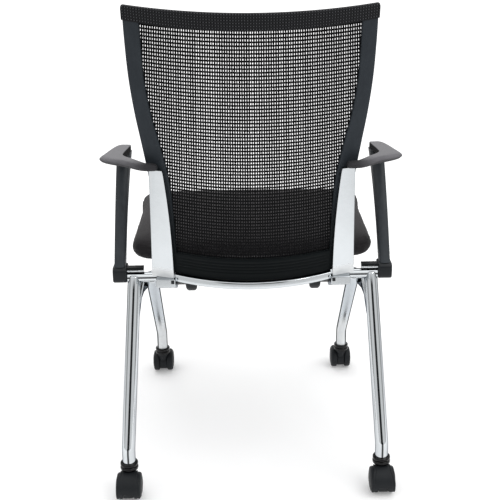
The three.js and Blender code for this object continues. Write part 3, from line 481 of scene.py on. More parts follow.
def knit(name, yarn, shine, course, wale, uv=None, depth=0.0006, openness=0.5):
    """A warp knit: raised courses with a row of small loops between them.

    It takes the pitches of its courses and wales, and follows a UV map where one is named.
    """
    cloth = Finish(name, Specular_IOR_Level=0.12, Sheen_Weight=0.03, Sheen_Roughness=0.5)
    place = cloth.node("ShaderNodeUVMap", {"uv_map": uv}) if uv else cloth.place
    x, y, z = cloth.parts(place)
    along = y if uv else z
    wander = cloth.noise(60, 2, 0.5) - 0.5
    rows = (along * (2 * math.pi / course) + wander * 1.4).sine() * 0.5 + 0.5
    loops = (x * (2 * math.pi / wale) + wander * 2.0).sine() * 0.5 + 0.5
    dots = cloth.ramp((0.45 + 0.55 * loops) * (1 - rows), openness, 0.95)
    fuzz = cloth.noise(2600, 3, 0.6)
    # The loops and the raised courses' fuzz take the paler shine colour, a painted highlight on
    # the dark yarn.
    cloth.feed(Base_Color=cloth.blend(0.75 * dots + 0.25 * fuzz * rows, yarn, shine),
               Roughness=0.62 + 0.25 * fuzz - 0.15 * dots)
    cloth.relief((rows, 0.8, depth), (loops, 0.5, depth * 0.5), (fuzz, 0.4, 0.00012))
    return cloth.material


# Its second colour is the loops' painted highlight.
band_cloth = knit("band_knit", (0.0015, 0.0015, 0.0025), (0.120, 0.123, 0.130),
                  course=0.0048, wale=0.0047, uv="Cloth", openness=0.62)
fit(band, band_cloth, "frame", "mesh_fabric", "top_mesh_band")

# ---- Net of the back ----
# An open knit of polyester, stretched inside the ring. Broad flat courses run from side to
# side, and thin twisted strands cross them and leave small oval holes.

net_depth, net_tuck, net_side_tuck = 0.0088, 0.0026, 0.0022
net_rows, strand_spread = 68, 47
wave_of_course, wave_of_strand = 0.00025, 0.0009
girth_at_hole, girth_at_course = 1.12, 0.86


def strand_pitch(level):
    """The way from strand to strand, which closes up toward the top."""
    return mix(0.00452, 0.00395, level)


def net_point(across, level, proud=0.0):
    """A place on the net: across in strands from the middle, level from 0 to 1 going up."""
    low_z = back_foot + foot_rail_height - net_tuck
    high_z = back_top - band_thickness - seat_gap - top_rail_height + net_tuck
    x = across * strand_pitch(level)
    z = mix(foot_edge(x) + foot_rail_height - net_tuck, top_edge(x) - (back_top - high_z),
            level)
    return x, back_y(x, z) - net_depth - proud, z, mix(low_z, high_z, level)


rng = np.random.default_rng(7)
net_points, net_lines, on_course, girths = [], [], [], []


def net_step(point, girth, before, course):
    """Adds a point of the knit, with a line from the one before it, and returns its number."""
    net_points.append(point)
    girths.append(girth)
    here = len(net_points) - 1
    if before is not None:
        net_lines.append((before, here))
        on_course.append(course)
    return here


for j in range(net_rows):
    level = (j + 0.5) / net_rows
    before = None
    z_level = net_point(0, level)[3]
    limit = (inner_reach(z_level) + net_side_tuck) / strand_pitch(level)
    for k, across in enumerate([-limit, *range(-int(limit), int(limit) + 1), limit]):
        x, y, z, _ = net_point(across + rng.normal(0, 0.02), level + rng.normal(0, 0.00025),
                               wave_of_course * (-1) ** k)
        before = net_step((x, y, z), 1.0 + rng.normal(0, 0.06), before, True)
for i in range(-strand_spread, strand_spread + 1):
    before = None
    for j in range(2 * net_rows + 1):
        x, y, z, z_level = net_point(i + rng.normal(0, 0.032), j / (2 * net_rows),
                                     wave_of_strand * (j % 2) * (-1) ** (i + j // 2))
        if abs(x) >= inner_reach(z_level) + net_side_tuck:
            before = None
            continue
        girth = (girth_at_hole if j % 2 else girth_at_course) + rng.normal(0, 0.08)
        before = net_step((x, y, z), girth, before, False)


def guide(name, points, lines=()):
    """An object of bare points and lines, for a tree of nodes to build on."""
    mesh = bpy.data.meshes.new(name)
    mesh.from_pydata(points, lines, [])
    return put(name, mesh)


net = guide("net_guides", net_points, net_lines)
net.data.attributes.new("is_course", "BOOLEAN", "EDGE").data.foreach_set("value", on_course)
net.data.attributes.new("girth", "FLOAT", "POINT").data.foreach_set("value", girths)


def evaluated_mesh(made):
    """A plain mesh of a piece with its modifiers applied."""
    seen = made.evaluated_get(bpy.context.evaluated_depsgraph_get())
    return bpy.data.meshes.new_from_object(seen)


class Modelling(Nodes):
    """A Geometry Nodes tree with one geometry in and one out, and named sizes."""

    def __init__(self, name, **sizes):
        super().__init__(bpy.data.node_groups.new(name, "GeometryNodeTree"))
        self.sizes = sizes
        sockets = [("Guides", "INPUT", "Geometry")]
        for size, value in sizes.items():
            kind = ("Material" if isinstance(value, bpy.types.Material)
                    else "Int" if isinstance(value, int) else "Float")
            sockets.append((size.replace("_", " "), "INPUT", kind))
        for socket, way, kind in sockets + [("Made", "OUTPUT", "Geometry")]:
            self.tree.interface.new_socket(socket, in_out=way, socket_type="NodeSocket" + kind)
        self.entry = self.tree.nodes.new("NodeGroupInput")
        self.exit = self.tree.nodes.new("NodeGroupOutput")

    def given(self, name):
        return Value(self, self.entry.outputs[name])

    def attribute(self, name, kind):
        return self.node("GeometryNodeInputNamedAttribute", {"data_type": kind}, {"Name": name})

    def join(self, *parts):
        made = self.tree.nodes.new("GeometryNodeJoinGeometry")
        for part in parts[::-1]:
            self.tree.links.new(part.socket, made.inputs[0])
        return Value(self, made.outputs[0])

    def make(self, guides, name, geometry):
        """Ends the tree, runs it on the guides and returns a plain mesh object."""
        loose = self.node("GeometryNodeRealizeInstances", None, {0: geometry})
        dressed = self.node("GeometryNodeSetMaterial", None,
                            {"Geometry": loose, "Material": self.given("Finish")})
        self.tree.links.new(dressed.socket, self.exit.inputs[0])
        modifier = guides.modifiers.new("Modelling", "NODES")
        modifier.node_group = self.tree
        for item in self.tree.interface.items_tree:
            key = item.name.replace(" ", "_")
            if item.in_out == "INPUT" and key in self.sizes:
                modifier[item.identifier] = self.sizes[key]
        mesh = evaluated_mesh(guides)
        mesh.name = name
        bpy.data.objects.remove(guides)
        turn_outward(mesh)
        return put(name, mesh)


# Its second colour is the loops' painted highlight.
net_cloth = knit("net_knit", (0.0022, 0.0022, 0.0028), (0.012, 0.012, 0.014),
                 course=0.0013, wale=0.0009, depth=0.0002)
weave = Modelling("open_knit", Course_Width=0.0036, Course_Depth=0.0013, Strand_Width=0.0029,
                  Finish=net_cloth)


def yarn_tube(is_course, width, depth, sides):
    """Oval yarn of this width and depth along the guides' courses, or along their strands."""
    courses = weave.attribute("is_course", "BOOLEAN")
    chosen = courses if is_course else weave.node(
        "FunctionNodeBooleanMath", {"operation": "NOT"}, {0: courses})
    line = weave.node("GeometryNodeMeshToCurve", None,
                      {"Mesh": weave.given("Guides"), "Selection": chosen})
    if is_course:
        line = weave.node("GeometryNodeSetCurveNormal", {"mode": "Z_UP"}, {"Curve": line})
    line = weave.node("GeometryNodeSetCurveRadius", None,
                      {"Curve": line, "Radius": weave.attribute("girth", "FLOAT")})
    circle = weave.node("GeometryNodeCurvePrimitiveCircle", None,
                        {"Resolution": sides, "Radius": 1.0})
    profile = weave.node("GeometryNodeTransform", None,
                         {"Geometry": circle,
                          "Scale": weave.vector(depth * 0.5, width * 0.5, 1.0)})
    return weave.node("GeometryNodeCurveToMesh", None,
                      {"Curve": line, "Profile Curve": profile, "Fill Caps": True})


courses = yarn_tube(True, weave.given("Course Width"), weave.given("Course Depth"), 6)
strands = yarn_tube(False, weave.given("Strand Width"), weave.given("Strand Width"), 4)
net = weave.make(net, "back_mesh", weave.join(courses, strands))
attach(net, "frame")
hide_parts("back_net")

# ---- Uprights ----
# Polished aluminium castings, one behind each side rail, broad at the foot and tapering up to
# the armrest's tip. Screws from the front hold the ring against them.

upright_foot, upright_height, upright_thickness = hub.z + 0.0203, 0.2181, 0.010
upright_inner, upright_width = (0.149, 0.159), (0.042, 0.025)  # at the foot and at the head
upright_bow, upright_crown, upright_sink = 0.003, 0.0012, 0.0016
chrome_tint = (0.69, 0.72, 0.74)


def polished(name, tint, roughness=0.055, rim=(0.12, 0.13, 0.15), dark_flank_reflection=0.0, foot_reflection_height=0.0,
             satin=None):
    """Bright chrome plate: faint cloudiness, hairline wipe marks and a soft orange peel.

    One setting paints a dark line near each side of a tube, a painted reflection of a dark room,
    and another paints one along its rear side below a given height, also a painted reflection.
    Below the heights that satin gives, the plate is pale and dull.
    """
    plate = Finish(name, Metallic=1.0, Specular_Tint=(*rim, 1.0))
    haze = plate.noise(38, 4, 0.6)
    hairs = plate.noise(900, 2, 0.5, stretch=(1, 1, 0.03))
    colour = plate.blend(haze, tuple(0.9 * c for c in tint), tint)
    place = plate.parts(plate.place)
    facing = plate.parts(plate.node("ShaderNodeTexCoord", out="Normal"))
    metal = 1.0
    if satin:
        pale = 1 - plate.ramp(place[2], *satin)
        colour = plate.blend(pale, colour, (0.80, 0.82, 0.83))
        metal = 1 - 0.85 * pale
    if dark_flank_reflection:
        # Painted reflection: a dark line near each side of the tube, where it turns away sideways.
        sideways = abs(0.98 * facing[0] * place[0].sign() + 0.157 * facing[1]
                       - 0.125 * facing[2])
        line = (dark_flank_reflection * plate.ramp(sideways, 0.72, 0.82)
                * (1 - plate.ramp(sideways, 0.93, 0.975)))
        colour = plate.blend(line, colour, (0.02, 0.022, 0.025))
        metal = (1 - line) * metal
        plate.shader.inputs["Specular IOR Level"].default_value = 0.0
    if foot_reflection_height:
        # Painted reflection: a dark line down the tube's rear side, below the given height.
        line = (0.95 * (1 - plate.ramp(abs(facing[0]), 0.09, 0.19))
                * plate.ramp(facing[1], 0, 0.5)
                * (1 - plate.ramp(place[2], foot_reflection_height, foot_reflection_height + 0.004)))
        colour = plate.blend(line, colour, (0.01, 0.01, 0.012))
    if satin or dark_flank_reflection:
        plate.feed(Metallic=metal)
    plate.feed(Base_Color=colour,
               Roughness=roughness + 0.07 * plate.ramp(haze, 0.5, 0.85) + 0.03 * hairs)
    plate.relief((plate.noise(55, 2, 0.5), 0.06, 0.0008), (hairs, 0.03, 0.00003))
    return plate.material


chrome = polished("chrome", chrome_tint)


def mirrored(made, name):
    """The same piece on the sitter's right."""
    mesh = made.data.copy()
    mesh.transform(Matrix.Scale(-1, 4, (1, 0, 0)))
    mesh.flip_normals()
    return put(name, mesh)


def fit_pair(made, finish, body, slot, node):
    """Fits a left piece named for its node, and its mirror image on the right."""
    twin = mirrored(made, made.name.replace("_left", "_right"))
    fit(made, finish, body, slot, node + "_left")
    fit(twin, finish, body, slot, node + "_right")


rings = []
for k in range(49):
    share = k / 48
    past = max(0.0, share * 49 - 48)
    z = upright_foot + upright_height * share
    bow = upright_bow * 4 * share * (1 - share)
    inner, width = mix(*upright_inner, share) - bow, mix(*upright_width, share) + bow
    rings.append([])
    for across, out in rounded_section(width, upright_thickness + 0.002, 0.0026):
        crown = upright_crown / 2 * (2 * across / width - 1) ** 2
        x = inner + mix(across, width / 2, 0.06 * past**2)
        out = min(out, upright_thickness + 0.0014 - crown) - upright_sink
        rings[-1].append((x, back_y(x, max(z, back_foot)) + out, z))
upright_chrome = polished("upright_chrome", chrome_tint,
                          satin=(upright_foot + 0.011, upright_foot + 0.021))
fit_pair(skin("upright_left", rings, crease=24), upright_chrome, "frame", "chrome",
         "back_upright")

# ---- Crossbar ----
# A bowed chromed bar under the foot rail that ties the two upright brackets together. It
# follows the rail's curve, and its edges are softly rounded.

crossbar_half, crossbar_depth, crossbar_height = 0.1457, 0.013, 0.014
crossbar_proud, crossbar_round = 0.008, 0.0024

rings = []
for k in range(65):
    x = crossbar_half * (2 * k / 64 - 1)
    y = back_y(x, back_foot) + crossbar_proud - crossbar_depth
    z = foot_edge(x) - crossbar_height
    rings.append([(x, y + a, z + b) for a, b in
                  rounded_section(crossbar_depth, crossbar_height, crossbar_round)])
fit(skin("crossbar", rings, crease=24), chrome, "frame", "chrome", "back_crossbar")

# ---- Upright brackets ----
# Chromed castings that clamp round the hub tube and carry the uprights' feet on a flat
# tongue. A black square-headed screw closes each tongue's end.

eye_radius, eye_inner, eye_width = 0.0218, 0.146, 0.036
eye_end = math.radians(315)
tongue_reach, tongue_thickness = 0.066, 0.016
screw_size, screw_length, screw_inset = 0.006, 0.003, 0.0015


def plate_along_x(name, outline, start, end, bevel, crease=30.0, steps=3):
    """A plate of a (y, z) outline between two places along X, with rounded rims.

    The outline may give its own x before each y and z, and the plate follows it.
    """
    rings = [[((p[0] if len(p) == 3 else 0) + x, *p[-2:]) for p in outline]
             for x in (start, end)]
    made = skin(name, rings, crease=crease)
    rounding = made.modifiers.new("Rims", "BEVEL")
    rounding.width, rounding.segments = bevel, steps
    rounding.limit_method, rounding.angle_limit = "ANGLE", math.radians(50)
    flats = made.modifiers.new("Flat sides", "WEIGHTED_NORMAL")
    flats.weight, flats.keep_sharp = 100, False
    made.data.shade_smooth()
    made.data = evaluated_mesh(made)
    made.modifiers.clear()
    return made


def quadratic(a, b, c, steps):
    """Points of an arc from a, which is left out, to c, drawn towards b on its way."""
    return [tuple((1 - t) ** 2 * p + 2 * t * (1 - t) * q + t * t * r
                  for p, q, r in zip(a, b, c)) for t in (k / steps for k in range(1, steps + 1))]


tongue_top = upright_foot - hub.z - seat_gap
tongue_under = tongue_top - tongue_thickness
eye_start = math.atan2(tongue_top, math.sqrt(eye_radius**2 - tongue_top**2))
outline = [(eye_radius * math.cos(a), eye_radius * math.sin(a))
           for a in np.linspace(eye_start, eye_end, 40)]
outline += quadratic(outline[-1], (tongue_reach / 2, tongue_under), (tongue_reach, tongue_under),
                     10)
outline.append((tongue_reach, tongue_top))
outline = [(hub.y + y, hub.z + z) for y, z in outline]
bracket = plate_along_x("bracket_left", outline, eye_inner, eye_inner + eye_width, 0.0016)
fit_pair(bracket, chrome, "frame", "chrome", "upright_bracket")

black_plastic = moulded("black_plastic", (0.006, 0.0075, 0.009), (0.021, 0.025, 0.029), 0.40)
screw_y, screw_z = hub.y + tongue_reach + seat_gap, hub.z + tongue_top - screw_inset
outline = [(screw_y, screw_z - screw_size), (screw_y + screw_length, screw_z - screw_size),
           (screw_y + screw_length, screw_z), (screw_y, screw_z)]
screw = plate_along_x("bracket_screw_cap_left", outline, eye_inner + screw_inset,
                      eye_inner + screw_inset + screw_size, 0.0006)
fit_pair(screw, black_plastic, "frame", "black_plastic", "bracket_screw")

# ---- Legs ----
# Bent steel tube, 25 mm across, chromed. Each runs straight down and out from the hub and
# turns upright just above its caster.

leg_radius, leg_bend, leg_dome = 0.0127, 0.05, 0.0035
socket_bottom, socket_top, socket_lip = 0.05272, 0.06872, 0.0045
# Each leg's head and foot to the side, its foot to the rear of the hub and its knee's height.
legs = {"front": (0.1960, 0.220, -0.390, 0.107), "rear": (0.2297, 0.246, 0.101, 0.092)}
# The front legs' dark side lines and the rear legs' dark line at the foot are painted reflections.
leg_chromes = {
    "front": polished("leg_chrome", (0.74, 0.77, 0.79), 0.11, rim=(0.70, 0.73, 0.76),
                      dark_flank_reflection=0.96, satin=(0.16, 0.24)),
    "rear": polished("rear_chrome", chrome_tint, foot_reflection_height=0.099)}


def bent(start, corner, end, radius, steps):
    """A line whose one corner is an arc."""
    start, corner, end = Vector(start), Vector(corner), Vector(end)
    into, out = (start - corner).normalized(), (end - corner).normalized()
    turn = math.pi - into.angle(out)
    trim = radius * math.tan(turn / 2)
    centre = corner + (into + out).normalized() * radius / math.cos(turn / 2)
    first, last = corner + into * trim - centre, corner + out * trim - centre
    arc = [centre + (first * math.sin((1 - k / steps) * turn) + last * math.sin(k / steps * turn))
           / math.sin(turn) for k in range(steps + 1)]
    straight = [start.lerp(arc[0], k / 12) for k in range(12)]
    return straight + arc + [arc[-1].lerp(end, k / 4) for k in range(1, 5)]


def tube_rings(path, girths, sides=40):
    rings = []
    for i, point in enumerate(path):
        along = (path[min(i + 1, len(path) - 1)] - path[max(i - 1, 0)]).normalized()
        across = (Vector((1, 0, 0)) - along * along.x).normalized()
        upright_way = along.cross(across)
        rings.append([point + (across * math.cos(a) + upright_way * math.sin(a)) * girths[i]
                      for a in (2 * math.pi * k / sides for k in range(sides))])
    return rings


for end, (head, foot, back, knee) in legs.items():
    path = bent((head, hub.y, hub.z), (foot, hub.y + back, knee),
                (foot, hub.y + back, socket_bottom + socket_lip), leg_bend, 20)
    lead = (path[0] - path[1]).normalized()
    domed = [path[0] + lead * leg_dome * s for s in (1.0, 0.75, 0.4)]
    girths = [leg_radius * g for g in (0.80, 0.93, 0.985)] + [leg_radius] * len(path)
    leg = skin(f"leg_{end}_left", tube_rings(domed + path, girths), crease=40)
    fit_pair(leg, leg_chromes[end], "frame", "chrome", f"{end}_leg")

# ---- Gussets ----
# A chromed web with an arched foot, welded between the two legs of each side. It lies in the
# plane of the legs' middle lines, and its rims are rounded.

web_half, web_bevel = 0.0035, 0.0022
outline = [(0.0, 0.0), (0.0333, -0.105), (0.0165, -0.1035), (0.0040, -0.097), (-0.0040, -0.084),
           (-0.0085, -0.066), (-0.0115, -0.050), (-0.0160, -0.0385), (-0.0235, -0.0310),
           (-0.0330, -0.0325), (-0.0460, -0.0430), (-0.0620, -0.0570), (-0.0757, -0.0590)]


def leg_line(end, z):
    """The x of a leg's middle line at this height over the hub, and its y from the hub."""
    head, foot, back, knee = legs[end]
    down = -z / (hub.z - knee)
    return mix(head, foot, down), back * down


def between_legs(y, z):
    """How far out the web lies here, on the way from one leg's middle line to the other's."""
    (rear_x, rear_y), (front_x, front_y) = leg_line("rear", z), leg_line("front", z)
    share = (y - front_y) / (rear_y - front_y) if rear_y - front_y > 1e-6 else 0.5
    return mix(front_x, rear_x, share)


outline = [(between_legs(y, z), hub.y + y, hub.z + z) for y, z in outline]
gusset = plate_along_x("gusset_left", outline, -web_half, web_half, web_bevel)
fit_pair(gusset, chrome, "frame", "chrome", "leg_gusset")

# ---- Hub tubes ----
# A chromed stub at each side joins the leg heads, and the black beam between them carries
# the seat's hinges.

stub_start, stub_end, stub_radius = 0.183, 0.2427, 0.010
beam_end, beam_radius, rim_bevel = 0.1827, 0.016, 0.0006


def turned(name, profile, centre, axis="X", sides=48, crease=32.0):
    """A turned piece: a profile of (place along the axis, radius) about a line."""
    rings = []
    for along, radius in profile:
        rings.append([])
        for k in range(sides):
            a = 2 * math.pi * k / sides
            c, s = radius * math.cos(a), radius * math.sin(a)
            rings[-1].append(Vector(centre)
                             + Vector((along, c, s) if axis == "X" else (c, s, along)))
    return skin(name, rings, crease=crease)


stub = turned("hub_tube_left",
              [(stub_start, stub_radius - rim_bevel), (stub_start + rim_bevel, stub_radius),
               (stub_end - rim_bevel, stub_radius), (stub_end, stub_radius - rim_bevel)],
              (0, hub.y, hub.z))
fit_pair(stub, chrome, "frame", "chrome", "hub_stub")


def painted_steel(name, dark, light):
    """Steel under a thin black powder coat."""
    coat = Finish(name, Coat_Weight=0.3, Coat_Roughness=0.2)
    peel = coat.noise(900, 2, 0.5)
    coat.feed(Base_Color=coat.blend(coat.noise(40, 3, 0.6), dark, light),
              Roughness=0.34 + 0.12 * peel)
    coat.relief((peel, 0.25, 0.0001))
    return coat.material


beam_half = [(beam_end, 0.0140), (beam_end, 0.0155), (beam_end - rim_bevel, beam_radius)]
beam = turned("beam", [(-x, radius) for x, radius in beam_half] + beam_half[::-1],
              (0, hub.y, hub.z), sides=56)
fit(beam, painted_steel("black_steel", (0.006, 0.006, 0.0065), (0.014, 0.014, 0.015)),
    "frame", "black_steel", "cross_beam")

# ---- Arm sockets ----
# A rounded nylon cap on each end of the hub tube takes the arm post. A slotted black bar
# beside it keys the post to the hub, so that it can't turn.

cap_inner, cap_width, cap_edge = 0.243, 0.027, 0.0028
cap_half_y, cap_half_z, cap_corner = 0.019, 0.016, 0.009
cap_y, cap_z = hub.y - 0.007, hub.z + 0.007
bar_start, bar_end, bar_half, bar_rim_half = 0.2107, 0.2427, 0.007, 0.0064
bar_low, bar_high = hub.z + 0.0118, hub.z + 0.0221
slot_start, slot_end = bar_start + 0.010, bar_end - 0.003
slot_low, slot_high = hub.z + 0.0158, hub.z + 0.0180


def pillow_along_x(name, half_y, half_z, corner, start, end, edge, centre):
    """A block with rounded corners and rounded rims, along X."""
    quarter = [math.pi / 2 * k / 6 for k in range(7)]
    levels = [(start + edge * (1 - math.cos(a)), a) for a in quarter]
    levels += [(end - edge * (1 - math.cos(a)), a) for a in quarter[::-1]]
    rings = []
    for x, a in levels:
        radius = max(corner - edge * (1 - math.sin(a)), 0.0008)
        rings.append([])
        for cy, cz, begin in ((1, 1, 0), (-1, 1, 90), (-1, -1, 180), (1, -1, 270)):
            for j in range(9):
                b = math.radians(begin + 90 * j / 8)
                rings[-1].append((x, centre[0] + cy * (half_y - corner) + radius * math.cos(b),
                                  centre[1] + cz * (half_z - corner) + radius * math.sin(b)))
    return skin(name, rings, crease=60)


cap = pillow_along_x("arm_cap_left", cap_half_y, cap_half_z, cap_corner, cap_inner,
                     cap_inner + cap_width, cap_edge, (cap_y, cap_z))
fit_pair(cap, black_plastic, "frame", "black_plastic", "hub_cap")

rings = []
for x_out, z_out, x_in, z_in in ((bar_start, bar_low, slot_start, slot_low),
                                 (bar_end, bar_low, slot_end, slot_low),
                                 (bar_end, bar_high, slot_end, slot_high),
                                 (bar_start, bar_high, slot_start, slot_high)):
    lip_x, lip_z = mix(x_out, x_in, 0.15), mix(z_out, z_in, 0.15)
    half = [(x_out, bar_rim_half, z_out), (lip_x, bar_half, lip_z), (x_in, bar_half, z_in)]
    rings.append([(x, hub.y - y, z) for x, y, z in half]
                 + [(x, hub.y + y, z) for x, y, z in half[::-1]])
key_finish = Finish("arm_key", Specular_IOR_Level=0.12)
up = key_finish.parts(key_finish.place)[2]
# Painted light: a pale band along the slot's floor, painted as if light showed through the slot.
painted_slot_light = ((1 - key_finish.ramp(up, slot_low + 0.0004, slot_low + 0.0012))
                 * key_finish.ramp(up, slot_low - 0.0026, slot_low - 0.0018))
key_finish.feed(Base_Color=key_finish.blend(painted_slot_light, (0.007, 0.008, 0.009),
                                            (0.75, 0.78, 0.80)),
                Roughness=0.42 - 0.15 * painted_slot_light)
key_finish.relief((key_finish.noise(1500, 2, 0.5), 0.2, 0.0001))
fit_pair(skin("arm_key_left", rings, loop=True), key_finish.material, "frame",
         "black_plastic", "arm_bar")

# ---- Arm posts ----
# Moulded nylon, flat-sided and deeper toward the top, where each leans forward under the
# armrest. A parting line runs up the outer side.

arm_front, arm_length = hub.y - 0.175, 0.286048
arm_top, arm_thickness, arm_slope = hub.z + 0.225, 0.014, 0.1057
post_foot, post_bow, post_seam = hub.z + 0.0233, 0.010, 0.0007
post_foot_half, post_head_half = (0.011, 0.015), (0.0142, 0.024)  # across and along
post_section = ((0.80, -1), (1, -0.72), (1.0, 0.30), (0.86, 0.86), (0.3, 1), (-0.3, 1),
                (-0.86, 0.86), (-1.0, 0.30), (-1, -0.72), (-0.80, -1))


def arm_plane(y):
    """The height of the armrest's top."""
    return arm_top + arm_slope * (y - arm_front)


def cut_corners(outline, times):
    """A closed outline with each corner cut off, this many times over."""
    for _ in range(times):
        outline = [q for a, b in zip(outline, [*outline[1:], outline[0]])
                   for q in ((mix(a[0], b[0], 0.2), mix(a[1], b[1], 0.2)),
                             (mix(a[0], b[0], 0.8), mix(a[1], b[1], 0.8)))]
    return outline


post_outline = cut_corners(list(post_section), 2)
rings = []
for k in range(29):
    share = k / 28
    half_x = mix(post_foot_half[0], post_head_half[0], share**2)
    half_y = mix(post_foot_half[1], post_head_half[1], share)
    bow = post_bow * 4 * share * (1 - share)
    middle_x = mix(cap_inner + 0.0135, cap_inner + 0.0126, share)
    middle_y = mix(cap_y, arm_front + arm_length * 0.094, share) + bow
    rings.append([])
    for across, along in post_outline:
        seam = post_seam * math.exp(-(along / 0.05) ** 2) if across > 0.8 else 0.0
        x, y = middle_x + across * half_x - seam, middle_y + along * half_y
        rings[-1].append((x, y, mix(post_foot, arm_plane(y) - arm_thickness - seat_gap, share)))
post_plastic = moulded("post_plastic", (0.018, 0.021, 0.024), (0.060, 0.068, 0.076), 0.42,
                       streak=1.0, shine=0.17)
fit_pair(skin("post_left", rings, crease=14), post_plastic, "frame", "arm_plastic", "arm_post")

# ---- Armrests ----
# Grey nylon loops: a broad pad above the post that narrows and curls in behind the side
# rail, with soft edges and a fine leather-like grain.

# Along the pad: its inner and its outer edge, as shares of its reach and of its length, and how
# much thinner it is there.
arm_stations = (
    (0.7300, 0.020, 0.8000, 0.014, 0.24), (0.6720, 0.075, 0.8850, 0.052, 0.06),
    (0.6624, 0.155, 0.9285, 0.13, 0), (0.6640, 0.270, 0.9598, 0.262, 0),
    (0.6691, 0.4199, 0.9843, 0.4369, 0), (0.6624, 0.5419, 1, 0.5839, 0),
    (0.6311, 0.6049, 0.9441, 0.6609, 0), (0.5596, 0.6779, 0.7809, 0.7449, 0),
    (0.4411, 0.7689, 0.5909, 0.8179, 0), (0.3382, 0.8429, 0.4724, 0.8879, 0.07),
    (0.2756, 0.8948, 0.3695, 0.9508, 0.07), (0.2443, 0.9098, 0.26, 0.9898, 0.10),
    (0.1704, 0.9098, 0.1615, 0.9958, 0.13), (0.1150, 0.9148, 0.1069, 0.9878, 0.20))
arm_tip_x, arm_reach = 0.156975, 0.284
arm_section = cut_corners([(0, 0.10), (0.07, 0), (0.85, 0), (1, 0.40), (0.99, 0.62),
                           (0.80, 0.99), (0.30, 1.0), (0.04, 1.0), (0, 0.92)], 2)
columns = list(zip(*arm_stations))

rings, shades = [], []
for k in range(85):
    share = k / 84
    inner_x, inner_y, outer_x, outer_y, thinner = (through(c, share) for c in columns)
    # Painted shade: the inner wall of the loop's hollow toward the front, the pad's underside and
    # its curled tail are marked to be painted dark.
    hollow, tail = clipped((0.68 - share) * 12), clipped((share - 0.62) * 3.2, 0.75)
    rings.append([])
    for across, up in arm_section:
        wall = clipped((0.035 - across) * 60) * clipped((0.97 - up) * 20) * hollow
        shades.append(max(wall, 0.6 * clipped((0.55 - up) * 4), tail))
        x = mix(arm_tip_x, arm_reach, min(mix(inner_x, outer_x, across), 1.0))
        y = arm_front + arm_length * mix(inner_y, outer_y, across)
        rings[-1].append(Vector((x, y, arm_plane(y) - arm_thickness
                                 + arm_thickness * (1 - thinner) * up)))


def domed_ends(rings, reach):
    """The same rings with a rounded end added at each side."""
    def dome(end, before):
        middle = sum(end, Vector()) / len(end)
        way = (middle - sum(before, Vector()) / len(before)).normalized()
        return [[middle + (p - middle) * math.cos(a) + way * reach * math.sin(a) for p in end]
                for a in (math.radians(d) for d in (30, 55, 75))]
    return dome(rings[0], rings[1])[::-1] + rings + dome(rings[-1], rings[-2])


# The dark second colour is painted shade, for the places that the shades above mark.
arm_plastic = moulded("arm_plastic", (0.100, 0.098, 0.107), (0.205, 0.200, 0.215), 0.40,
                      grain=0.5, shine=0.2, painted_shade_colour=(0.0045, 0.005, 0.006))
arm_pad = skin("arm_pad_left", domed_ends(rings, 0.0045), crease=60)
arm_pad.data.attributes.new("dark_shot", "FLOAT", "POINT").data.foreach_set(
    "value", by_vertex(arm_pad, rings, shades))
fit_pair(arm_pad, arm_plastic, "frame", "arm_plastic", "armrest")

# ---- Seat pan ----
# A ribbed polypropylene moulding under the cushion. It is screwed to the hinges, and its
# ribs show only from below.

seat_rear, seat_front = hub.y - 0.033, hub.y - 0.405
seat_rear_half, seat_front_half = 0.2408, 0.2490  # it flares where it is clear of the posts
seat_front_corner, seat_rear_corner, least_corner = 0.037, 0.036, 0.02
corner_share, flare_length, front_bow = 0.16, 0.106, 0.008
pan_bottom, pan_rear_corner = hub.z + 0.0055, 0.105
pan_levels = ((0.034, 0.003), (0.030, 0.003), (0.0285, 0.0005), (0.0268, 0.0),
              (0.0255, 0.0006), (0.0235, 0.0045), (0.0235, 0.0085), (0.0245, 0.009))


def seat_outline(inset, count, rear_corner=seat_rear_corner):
    """The seat's edge this far inside its outline, as evenly spaced (x, y)."""
    rear, front = seat_rear - inset, seat_front + inset
    rear_half, front_half = seat_rear_half - inset, seat_front_half - inset
    front_corner = max(seat_front_corner - inset, least_corner)
    rear_corner = max(rear_corner - inset, least_corner)
    flare_end = front + front_corner
    flare = min(flare_end + flare_length, rear - rear_corner - 0.004)
    line = [(0, rear), (rear_half - rear_corner, rear)]
    line += quadratic(line[-1],
                      (rear_half - rear_corner * corner_share, rear - rear_corner * corner_share),
                      (rear_half, rear - rear_corner), 12)
    for k in range(17):
        out = k / 16
        line.append((mix(rear_half, front_half, out * out * (3 - 2 * out)),
                     mix(flare, flare_end, out)))
    line += quadratic(line[-1], (front_half - front_corner * corner_share,
                                 front + front_corner * corner_share),
                      (front_half - front_corner, front), 12)
    line += quadratic(line[-1], ((front_half - front_corner) / 2, front - front_bow),
                      (0, front - front_bow), 12)
    points = [tuple(p) for p in spaced(line, count // 2 + 1)[0]]
    return points + [(-x, y) for x, y in points[1:-1][::-1]]


pan = skin("pan", [[(x, y, pan_bottom + rise)
                    for x, y in seat_outline(inset, 120, pan_rear_corner)]
                   for inset, rise in pan_levels], crease=40)
fit(pan, black_plastic, "seat", "black_plastic", "seat_pan")

